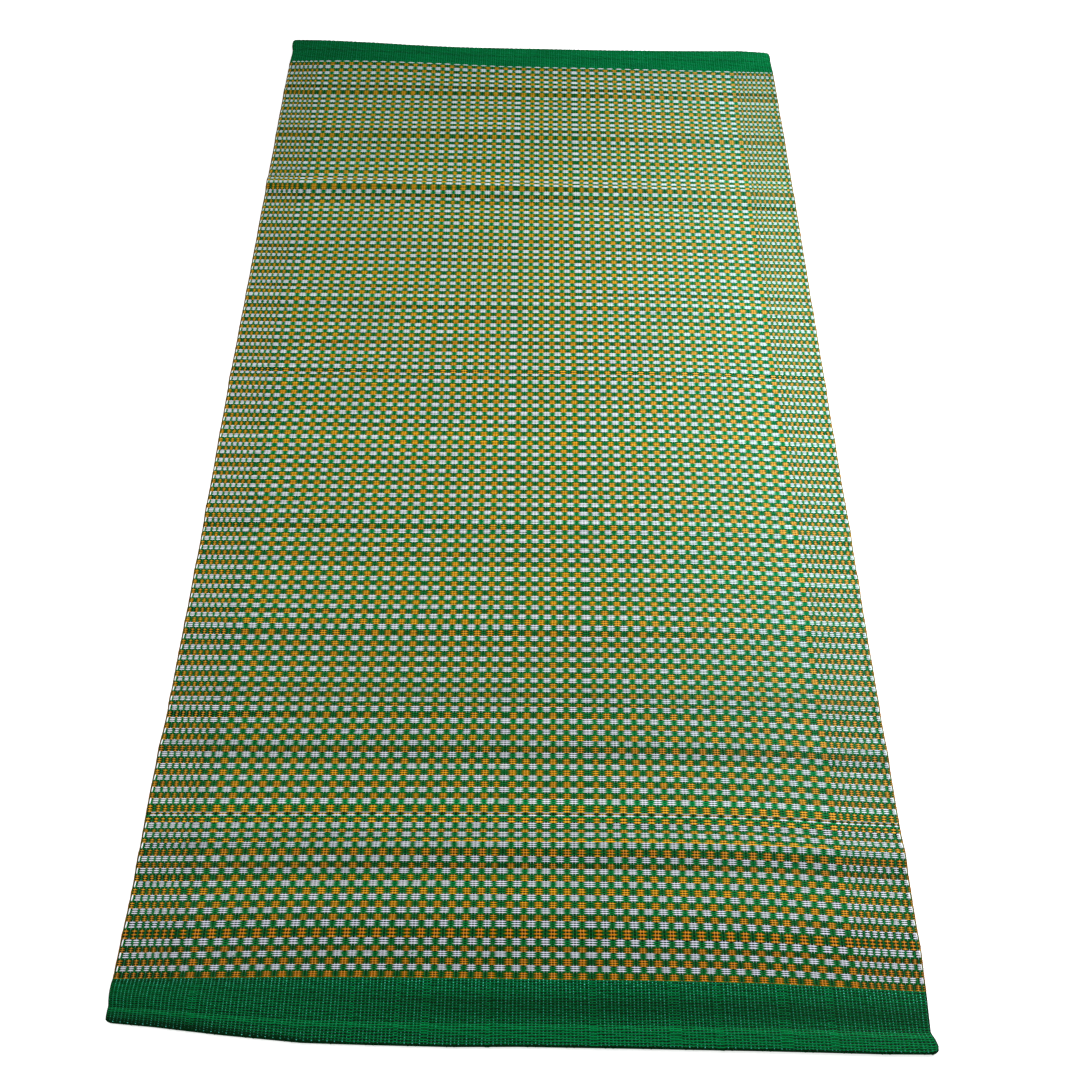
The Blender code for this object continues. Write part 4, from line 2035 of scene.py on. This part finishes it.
class EffectGroups:
    """The shader groups that several finishes share, each built once."""

    def __init__(self) -> None:
        """Build every group."""
        self.grain = self._grain()
        self.warp_marks = self._warp_marks()
        self.tips = self._tips()
        self.age = self._age()
        self.drawn_straws = self._drawn_straws()

    @staticmethod
    def _grain() -> bpy.types.NodeTree:
        """Draw fine lines along a drawn plastic straw, and its slow change of tone.

        Returns:
            The group.
        """
        inputs = {"Along": 0.0, "Across": 0.0, "Tone": 0.5, "Spread": 0.35}
        sketch = GroupSketch("drawn_plastic_grain", inputs, ("Shade", "Height"))
        along, across, tone, spread = (sketch.given[label] for label in inputs)
        offset = sketch.times(tone, 173.0)
        lines = sketch.noise(
            sketch.vector(sketch.times(along, 0.7), sketch.times(across, 6.0), offset), 1.0, detail=3.0
        )
        slow = sketch.noise(sketch.vector(sketch.times(along, 1.6), 0.0, offset), 1.0)
        both = sketch.plus(sketch.times(lines, 0.6), sketch.times(slow, 0.4))
        wide = sketch.times(sketch.minus(both, 0.5), spread)
        shade = sketch.maths("ADD", tone, sketch.times(wide, 2.0), clamp=True)
        return sketch.put_out(Shade=shade, Height=lines)

    @staticmethod
    def _warp_marks() -> bpy.types.NodeTree:
        """Mark the pale dot and painted highlight where a warp crosses a straw, and painted shade in the
        holes at the straw's edges.

        Returns:
            The group.
        """
        inputs = {
            "Offset": 0.0,
            "Across": 0.5,
            "End Offset": 0.0,
            "Strength": 1.0,
            "Hole Reach": 0.8,
            "Line From": 9.0,
        }
        sketch = GroupSketch("warp_crossing_marks", inputs, ("Mark", "Hole", "Height"))
        given = [sketch.given[label] for label in inputs]
        offset, across, end_offset, strength, pinch_shade_reach, line_from = given
        aside = sketch.maths("ABSOLUTE", offset)
        distance = sketch.away(aside, end_offset)
        mark = sketch.times(sketch.span(distance, 0.60, 0.20), strength)
        height = sketch.span(distance, 0.15, 0.75)
        lone = sketch.span(end_offset, 0.8, 0.2, (0.0, 0.5))
        single = sketch.times(lone, sketch.span(sketch.minus(aside, end_offset), 0.3, 0.6))
        spot = sketch.maths("MAXIMUM", sketch.span(sketch.minus(pinch_shade_reach, aside), -0.2, 0.2), single)
        line = sketch.span(sketch.minus(aside, line_from), 0.0, 0.6, (0.0, 0.55))
        edge = sketch.span(sketch.away(across, 0.5), 0.20, 0.38)
        pinch_shade = sketch.times(edge, sketch.maths("MAXIMUM", spot, line))
        return sketch.put_out(Mark=mark, Hole=pinch_shade, Height=height)

    @staticmethod
    def _tips() -> bpy.types.NodeTree:
        """Tell how near a point is to the straw's thin ends.

        Returns:
            The group.
        """
        inputs = {"Offset": 0.0, "Half Width": 4.0, "Before": 1.3, "Run": 3.0}
        sketch = GroupSketch("straw_tips", inputs, ("Tip",))
        offset, half_width, before, run = (sketch.given[label] for label in inputs)
        beyond = sketch.minus(sketch.maths("ABSOLUTE", offset), half_width)
        share = sketch.maths("DIVIDE", sketch.plus(beyond, before), run)
        return sketch.put_out(Tip=sketch.span(share, 0.0, 1.0))

    @staticmethod
    def _age() -> bpy.types.NodeTree:
        """Lay dust in patches, and mask the painted sheen at the mat's right and the painted shade toward its
        far end, most at the left.

        Returns:
            The group.
        """
        sketch = GroupSketch("dust_painted_sheen_and_shade", {"Place": None, "Amount": 0.5}, ("Dust", "Pale", "Dull"))
        place, amount = sketch.given["Place"], sketch.given["Amount"]
        fine = sketch.noise(place, 160.0, detail=4.0, roughness=0.65)
        broad = sketch.noise(place, 5.0, detail=3.0)
        patches = sketch.times(sketch.span(fine, 0.52, 0.75), sketch.span(broad, 0.35, 0.7))
        x, y, _ = sketch.parts(place)
        pale = sketch.times(sketch.span(x, 0.02, 0.40), sketch.span(y, -0.85, -0.35))
        dull = sketch.times(sketch.span(x, -0.05, 0.45, (1.0, 0.5)), sketch.span(y, -0.2, 0.8))
        return sketch.put_out(Dust=sketch.times(patches, amount), Pale=pale, Dull=dull)

    @staticmethod
    def _drawn_straws() -> bpy.types.NodeTree:
        """Draw rows of straw on a flat face: gaps between them and their round tops.

        Returns:
            The group.
        """
        inputs = {"Along": 0.0, "Pitch": 0.0023, "Gap": 0.2}
        sketch = GroupSketch("flat_rows_of_straw", inputs, ("Gap", "Height"))
        along, pitch, gap = (sketch.given[label] for label in inputs)
        centre = sketch.away(sketch.maths("FRACT", sketch.maths("DIVIDE", along, pitch)), 0.5)
        beyond = sketch.maths("GREATER_THAN", centre, sketch.minus(0.5, gap))
        round_top = sketch.minus(1.0, sketch.times(sketch.times(centre, centre), 3.6))
        return sketch.put_out(Gap=beyond, Height=round_top)


class MaterialSketch(NodeSketch):
    """A new material, and the values that the mat's pieces carry for it."""

    def __init__(self, name: str, groups: EffectGroups) -> None:
        """Make the material."""
        self.material = bpy.data.materials.new(name)
        self.material.use_nodes = True
        super().__init__(self.material.node_tree)
        self.shader = self.tree.nodes["Principled BSDF"].inputs
        self.groups = groups

    def straw_place(self) -> tuple[Socket, Socket]:
        """Each point's places along and across its straw."""
        x, y, _ = self.parts(self.node("ShaderNodeUVMap", uv_map="Straw").outputs[0])
        return x, y

    def straw_form(self) -> tuple[Socket, ...]:
        """Each point's four values of straw_form."""
        form = self.node("ShaderNodeAttribute", attribute_name="StrawForm", attribute_type="GEOMETRY")
        values = self.node("ShaderNodeSeparateColor")
        self.feed(values.inputs[0], form.outputs["Color"])
        return (*values.outputs, form.outputs["Alpha"])

    def age(self) -> bpy.types.bpy_prop_collection:
        """Dust, painted sheen and painted shade at each point."""
        spot = self.node("ShaderNodeTexCoord")
        return self.use(self.groups.age, Place=spot.outputs["Object"])

    def layered(
        self, shade: Socket, tones: tuple[Colour, Colour], layers: tuple[tuple[Socket, object, Colour], ...]
    ) -> Socket:
        """Mix a straw's two tones and lay other colours over them.

        Args:
            shade: which of the two tones shows.
            tones: the darker and the lighter one.
            layers: each further colour's mask and weight, and the colour.

        Returns:
            The finished colour.
        """
        colour = self.mix(shade, linear_colour(*tones[0]), linear_colour(*tones[1]))
        for mask, weight, over in layers:
            colour = self.mix(self.times(mask, weight), colour, linear_colour(*over))
        return colour

    def finish(
        self,
        colour: Socket,
        roughness: Socket | float,
        specular: float,
        height: Socket | None = None,
        bump: tuple[float, float] = (0.0, 0.0),
    ) -> bpy.types.Material:
        """Feed the shader.

        Args:
            colour: the base colour.
            roughness: the roughness, a mask or one value.
            specular: how much it shines.
            height: its fine relief, if it has any.
            bump: the relief's strength and its depth in metres.

        Returns:
            The material.
        """
        self.feed(self.shader["Base Color"], colour)
        self.feed(self.shader["Roughness"], roughness)
        self.shader["Specular IOR Level"].default_value = specular
        if height is not None:
            relief = self.node("ShaderNodeBump")
            for label, value in zip(("Strength", "Distance", "Height"), (*bump, height)):
                self.feed(relief.inputs[label], value)
            self.feed(self.shader["Normal"], relief.outputs[0])
        return self.material


@dataclass(frozen=True)
class StrawFinish:
    """Drawn plastic straw: two tones, tips, crossings with a pale dot and painted highlight, painted shade in
    edge holes, gloss.
    """

    name: str
    low: Colour
    high: Colour
    tip: Colour
    mark: Colour
    pinch_shade: Colour
    # Reach of the painted shade in the hole at the block's middle, and where the painted shade along the
    # edges begins again, in millimetres
    pinch_shade_reach: float = 0.8
    line_from: float = 9.0
    # Where the tip's colour begins before the block's edge, and how long it takes, in millimetres
    tip_before: float = 1.3
    tip_run: float = 2.7
    tip_weight: float = 0.8
    mark_weight: float = 0.35
    pinch_shade_weight: float = 0.9
    # Painted sheen: the colour the straw turns toward on the mat's right; painted shade: the colour it turns
    # toward at its far end
    pale: Colour = (6, 156, 106)
    painted_sheen_weight: float = 0.34
    dull: Colour = (0, 70, 30)
    painted_shade_weight: float = 0.12
    dust: Colour = (170, 168, 156)
    dust_weight: float = 0.03
    roughness: float = 0.45
    specular: float = 0.02

    def material(self, groups: EffectGroups) -> bpy.types.Material:
        """Make the finish as a material.

        Args:
            groups: the shared shader groups.

        Returns:
            The material.
        """
        sketch = MaterialSketch(self.name, groups)
        reach = STRAW_MAP_REACH / MM
        along, across = sketch.straw_place()
        tone, half, end_offset, strength = sketch.straw_form()
        offset = sketch.times(sketch.minus(along, 0.5), 2 * reach)
        grain = sketch.use(groups.grain, Along=offset, Across=across, Tone=tone)
        marks = sketch.use(
            groups.warp_marks,
            Offset=offset,
            Across=across,
            End_Offset=sketch.times(end_offset, reach),
            Strength=strength,
            Hole_Reach=self.pinch_shade_reach,
            Line_From=self.line_from,
        )
        tips = sketch.use(
            groups.tips,
            Offset=offset,
            Half_Width=sketch.times(half, reach),
            Before=self.tip_before,
            Run=self.tip_run,
        )
        age = sketch.age()
        # How strong the painted shade in the holes is: weaker where the far-end painted shade is strong
        flatter = sketch.span(age["Dull"], 0.1, 0.9, (self.pinch_shade_weight, 0.6 * self.pinch_shade_weight))
        layers = (
            # Pale dot and painted highlight where a warp crosses
            (marks["Mark"], self.mark_weight, self.mark),
            # Painted sheen toward the mat's right
            (age["Pale"], self.painted_sheen_weight, self.pale),
            # Painted shade toward the far end
            (age["Dull"], self.painted_shade_weight, self.dull),
            (tips["Tip"], self.tip_weight, self.tip),
            # Painted shade in the holes at the straw's edges
            (marks["Hole"], flatter, self.pinch_shade),
            (age["Dust"], self.dust_weight, self.dust),
        )
        colour = sketch.layered(grain["Shade"], (self.low, self.high), layers)
        rough = sketch.plus(self.roughness, sketch.times(age["Dust"], 0.25))
        height = sketch.plus(sketch.times(grain["Height"], 0.25), sketch.times(marks["Height"], 0.75))
        return sketch.finish(colour, rough, self.specular, height, (0.35, 0.15 * MM))


@dataclass(frozen=True)
class PlainStrawFinish:
    """Straw or cord that runs on without blocks, in the hems, the thin lines and the selvedges."""

    name: str
    low: Colour
    high: Colour
    dust: Colour = (150, 160, 146)
    dust_weight: float = 0.01
    roughness: float = 0.45
    specular: float = 0.01

    def material(self, groups: EffectGroups) -> bpy.types.Material:
        """Make the finish as a material.

        Args:
            groups: the shared shader groups.

        Returns:
            The material.
        """
        sketch = MaterialSketch(self.name, groups)
        along, across = sketch.straw_place()
        tone = sketch.straw_form()[0]
        offset = sketch.times(along, STRAW_MAP_REACH / MM)
        grain = sketch.use(groups.grain, Along=offset, Across=across, Tone=tone)
        dust = (sketch.age()["Dust"], self.dust_weight, self.dust)
        colour = sketch.layered(grain["Shade"], (self.low, self.high), (dust,))
        rough = sketch.plus(self.roughness, sketch.times(grain["Height"], 0.12))
        return sketch.finish(colour, rough, self.specular, grain["Height"], (0.3, 0.1 * MM))


@dataclass(frozen=True)
class WarpFinish:
    """Thin clear thread: mint over green, pale over white, warm over orange."""

    name: str = "clear_warp_thread"
    over_orange: Colour = (196, 128, 58)
    over_green: Colour = (0, 112, 52)
    over_white: Colour = (168, 172, 192)
    over_hem: Colour = (104, 255, 228)
    shade: Colour = (0, 72, 40)
    roughness: float = 0.3
    specular: float = 0.15

    def material(self, groups: EffectGroups) -> bpy.types.Material:
        """Make the finish as a material.

        Args:
            groups: the shared shader groups.

        Returns:
            The material.
        """
        sketch = MaterialSketch(self.name, groups)
        along, across = sketch.straw_place()
        tone, tint, in_hem, _ = sketch.straw_form()
        lengthwise = sketch.times(along, 5.0)
        grain = sketch.use(groups.grain, Along=lengthwise, Across=across, Tone=tone, Spread=0.2)
        lower = sketch.span(tint, 0.02, 0.12)
        upper = sketch.span(tint, 0.88, 0.98)
        colour = sketch.mix(lower, linear_colour(*self.over_orange), linear_colour(*self.over_green))
        colour = sketch.mix(upper, colour, linear_colour(*self.over_white))
        hem = sketch.mix(grain["Shade"], linear_colour(*self.shade), linear_colour(*self.over_hem))
        rough = sketch.plus(self.roughness, sketch.times(grain["Height"], 0.1))
        return sketch.finish(sketch.mix(in_hem, colour, hem), rough, self.specular)


@dataclass(frozen=True)
class GroundFinish:
    """Shaded cloth between the straws of the top."""

    name: str = "shaded_ground"
    low: Colour = (0, 24, 4)
    high: Colour = (0, 40, 8)
    gap: Colour = (0, 18, 8)
    pitch: float = 1.55 * MM
    roughness: float = 0.6
    specular: float = 0.05

    def material(self, groups: EffectGroups) -> bpy.types.Material:
        """Make the finish as a material.

        Args:
            groups: the shared shader groups.

        Returns:
            The material.
        """
        sketch = MaterialSketch(self.name, groups)
        x, y = sketch.straw_place()
        rows = sketch.use(groups.drawn_straws, Along=y, Pitch=self.pitch, Gap=0.14)
        along, across = sketch.times(x, 500.0), sketch.times(y, 600.0)
        grain = sketch.use(groups.grain, Along=along, Across=across, Tone=0.5)
        colour = sketch.layered(grain["Shade"], (self.low, self.high), ((rows["Gap"], 0.7, self.gap),))
        return sketch.finish(colour, self.roughness, self.specular, rows["Height"], (0.4, 0.2 * MM))


@dataclass(frozen=True)
class UndersideFinish:
    """One colour of the underside's check, drawn as rows of straw with warp crossings."""

    name: str
    low: Colour
    high: Colour
    warp: Colour = (120, 150, 130)
    gap: Colour = (0, 40, 18)
    dust: Colour = (160, 156, 144)
    pitch: float = 2.3 * MM
    warp_pitch: float = 4.2 * MM
    roughness: float = 0.45
    specular: float = 0.2

    def material(self, groups: EffectGroups) -> bpy.types.Material:
        """Make the finish as a material.

        Args:
            groups: the shared shader groups.

        Returns:
            The material.
        """
        sketch = MaterialSketch(self.name, groups)
        x, y = sketch.straw_place()
        rows = sketch.use(groups.drawn_straws, Along=y, Pitch=self.pitch, Gap=0.11)
        ends = sketch.use(groups.drawn_straws, Along=x, Pitch=self.warp_pitch, Gap=0.06)
        along, across = sketch.times(x, 120.0), sketch.times(y, 400.0)
        grain = sketch.use(groups.grain, Along=along, Across=across, Tone=0.5, Spread=0.5)
        dust = sketch.age()["Dust"]
        layers = ((ends["Gap"], 0.35, self.warp), (rows["Gap"], 0.8, self.gap), (dust, 0.30, self.dust))
        colour = sketch.layered(grain["Shade"], (self.low, self.high), layers)
        rough = sketch.plus(self.roughness, sketch.times(dust, 0.2))
        return sketch.finish(colour, rough, self.specular, rows["Height"], (0.6, 0.35 * MM))


def mat_finishes(groups: EffectGroups) -> Finishes:
    """Make every finish of the mat.

    Args:
        groups: the shared shader groups.

    Returns:
        The materials by straw.
    """
    finishes = {
        Straw.ORANGE: StrawFinish(
            "orange_straw",
            low=(194, 118, 0),
            high=(242, 178, 6),
            tip=(92, 104, 0),
            mark=(255, 210, 116),
            pinch_shade=(52, 32, 4),
            line_from=2.4,
            tip_before=1.5,
            tip_run=2.6,
            tip_weight=0.92,
            mark_weight=0.6,
            pale=(222, 196, 110),
            dull=(44, 116, 22),
            painted_shade_weight=0.30,
        ),
        Straw.WHITE: StrawFinish(
            "white_straw",
            low=(230, 233, 245),
            high=(250, 251, 253),
            tip=(96, 176, 138),
            mark=(250, 250, 255),
            pinch_shade=(40, 46, 62),
            pinch_shade_reach=1.4,
            line_from=2.4,
            tip_before=0.6,
            tip_weight=0.7,
            mark_weight=0.2,
            pale=(164, 232, 228),
            dull=(36, 146, 118),
            painted_shade_weight=0.28,
        ),
        Straw.LEAF: StrawFinish(
            "leaf_green_straw",
            low=(0, 106, 36),
            high=(0, 162, 78),
            tip=(0, 92, 30),
            mark=(0, 148, 80),
            pinch_shade=(0, 44, 8),
            pinch_shade_weight=0.75,
        ),
        Straw.FERN: StrawFinish(
            "fern_green_straw",
            low=(2, 68, 20),
            high=(8, 138, 60),
            tip=(2, 56, 12),
            mark=(0, 124, 60),
            pinch_shade=(0, 28, 4),
            pinch_shade_weight=0.85,
        ),
        Straw.LINE: PlainStrawFinish("line_green_straw", (0, 44, 8), (0, 98, 36)),
        Straw.HEM: PlainStrawFinish("hem_green_straw", (0, 26, 8), (0, 146, 74)),
        Straw.CORD: PlainStrawFinish("rust_cord", (124, 62, 20), (186, 124, 40)),
        Straw.WARP: WarpFinish(),
        Straw.GROUND: GroundFinish(),
        Straw.UNDER_ORANGE: UndersideFinish("underside_orange", (196, 108, 12), (236, 150, 32)),
        Straw.UNDER_WHITE: UndersideFinish("underside_white", (190, 186, 200), (228, 224, 234)),
        Straw.UNDER_GREEN: UndersideFinish("underside_green", (0, 80, 34), (0, 124, 58)),
    }
    return {kind: finish.material(groups) for kind, finish in finishes.items()}


@dataclass
class Studio:
    """Pale floor, soft light from the right, and the camera at the photograph's place."""

    camera_place: tuple[float, float, float] = (-0.0114, -1.2146, 1.433)
    yaw: float = 1.11
    pitch: float = 34.52
    roll: float = -1.57
    lens: float = 42.0
    sensor_width: float = 36.0
    floor_size: float = 14.0
    floor_drop: float = 0.3 * MM
    floor_tones: tuple[Colour, Colour] = ((244, 244, 244), (250, 250, 250))
    floor_glow: float = 0.62
    sky_strength: float = 0.29
    # Name, place, size and power of each light
    lights: tuple[tuple[str, tuple[float, float, float], float, float], ...] = (
        ("right_key", (1.4, 0.1, 0.8), 0.7, 46.0),
        ("left_fill", (-1.2, -0.4, 1.3), 1.0, 14.0),
    )

    def build(self, groups: EffectGroups) -> None:
        """Make floor, lights, world and camera.

        Args:
            groups: the shared shader groups.
        """
        self._floor(groups)
        for name, place, size, power in self.lights:
            self._light(name, place, size, power)
        world = bpy.data.worlds.new("studio_world")
        world.use_nodes = True
        sky = world.node_tree.nodes["Background"].inputs
        sky["Color"].default_value = (1.0, 1.0, 1.0, 1.0)
        sky["Strength"].default_value = self.sky_strength
        bpy.context.scene.world = world
        bpy.context.scene.view_settings.view_transform = "Standard"
        self._camera()

    @staticmethod
    def _held(name: str, data: bpy.types.ID) -> bpy.types.Object:
        """Put a mesh, a light or a camera into the scene.

        Args:
            name: the object's name.
            data: what it holds.

        Returns:
            The object.
        """
        holder = bpy.data.objects.new(name, data)
        bpy.context.scene.collection.objects.link(holder)
        return holder

    def _floor(self, groups: EffectGroups) -> None:
        """Make the pale floor with faint unevenness.

        Args:
            groups: the shared shader groups.
        """
        half = self.floor_size / 2
        corners = [(x * half, y * half, -self.floor_drop) for x, y in ((-1, -1), (1, -1), (1, 1), (-1, 1))]
        mesh = bpy.data.meshes.new("studio_floor")
        mesh.from_pydata(corners, [], [(0, 1, 2, 3)])
        floor = self._held("studio_floor", mesh)
        sketch = MaterialSketch("pale_floor", groups)
        tone = sketch.noise(sketch.node("ShaderNodeTexCoord").outputs["Object"], 2.0)
        sketch.shader["Emission Color"].default_value = (1.0, 1.0, 1.0, 1.0)
        sketch.shader["Emission Strength"].default_value = self.floor_glow
        mesh.materials.append(sketch.finish(sketch.layered(tone, self.floor_tones, ()), 0.85, 0.1))
        floor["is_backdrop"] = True

    def _light(self, name: str, place: tuple[float, float, float], size: float, power: float) -> None:
        """Add a soft square light that faces the mat's middle.

        Args:
            name: its name.
            place: where it stands.
            size: the length of its sides.
            power: its power in watts.
        """
        lamp = bpy.data.lights.new(name, "AREA")
        lamp.shape = "SQUARE"
        lamp.size = size
        lamp.energy = power
        holder = self._held(name, lamp)
        holder.location = place
        holder.rotation_euler = (-Vector(place)).to_track_quat("-Z", "Y").to_euler()

    def _camera(self) -> None:
        """Place the camera where the photograph was taken from."""
        camera = bpy.data.cameras.new("photo_camera")
        camera.lens = self.lens
        camera.sensor_width = self.sensor_width
        camera.clip_start = 0.01
        camera.clip_end = 50.0
        holder = self._held("photo_camera", camera)
        turn = Matrix.Identity(4)
        for angle, axis in ((self.yaw, "Z"), (self.pitch, "X"), (self.roll, "Y")):
            turn = turn @ Matrix.Rotation(math.radians(angle), 4, axis)
        holder.matrix_world = Matrix.Translation(self.camera_place) @ turn
        bpy.context.scene.camera = holder


def dress(piece: bpy.types.Object) -> None:
    """Let a piece ride with the mat and stand for its solid, and report it.

    Args:
        piece: the piece.
    """
    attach(piece, "root")
    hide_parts(NODE)
    sides = np.zeros(len(piece.data.polygons), dtype=np.int32)
    piece.data.polygons.foreach_get("loop_total", sides)
    LOG.info("%s: %d triangles", piece.name, int((sides - 2).sum()))


def main() -> None:
    """Build the studio and the mat."""
    logging.basicConfig(level=logging.INFO, format="%(name)s %(message)s")
    groups = EffectGroups()
    Studio().build(groups)
    finishes = mat_finishes(groups)
    surface = MatSurface()
    plan = WeavePlan()
    ground = GroundCloth(surface, plan).build(finishes)
    straws = FieldStraws(surface, plan).build(finishes)
    threads = WarpThreads(surface, plan).build(finishes)
    hems = [HemWeave(surface, near).build(finishes) for near in (True, False)]
    edges = Selvedges(surface, plan).build(finishes)
    loose = LooseThreads(surface).build(finishes)
    carried = [*straws, threads, *hems, *edges, loose]
    for piece in (ground, *carried):
        dress(piece)
    boxes = {"cad": CAD_BOX, "visual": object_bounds()}
    plain = {name: [list(corner) for corner in box] for name, box in boxes.items()}


if __name__ == "__main__":
    main()
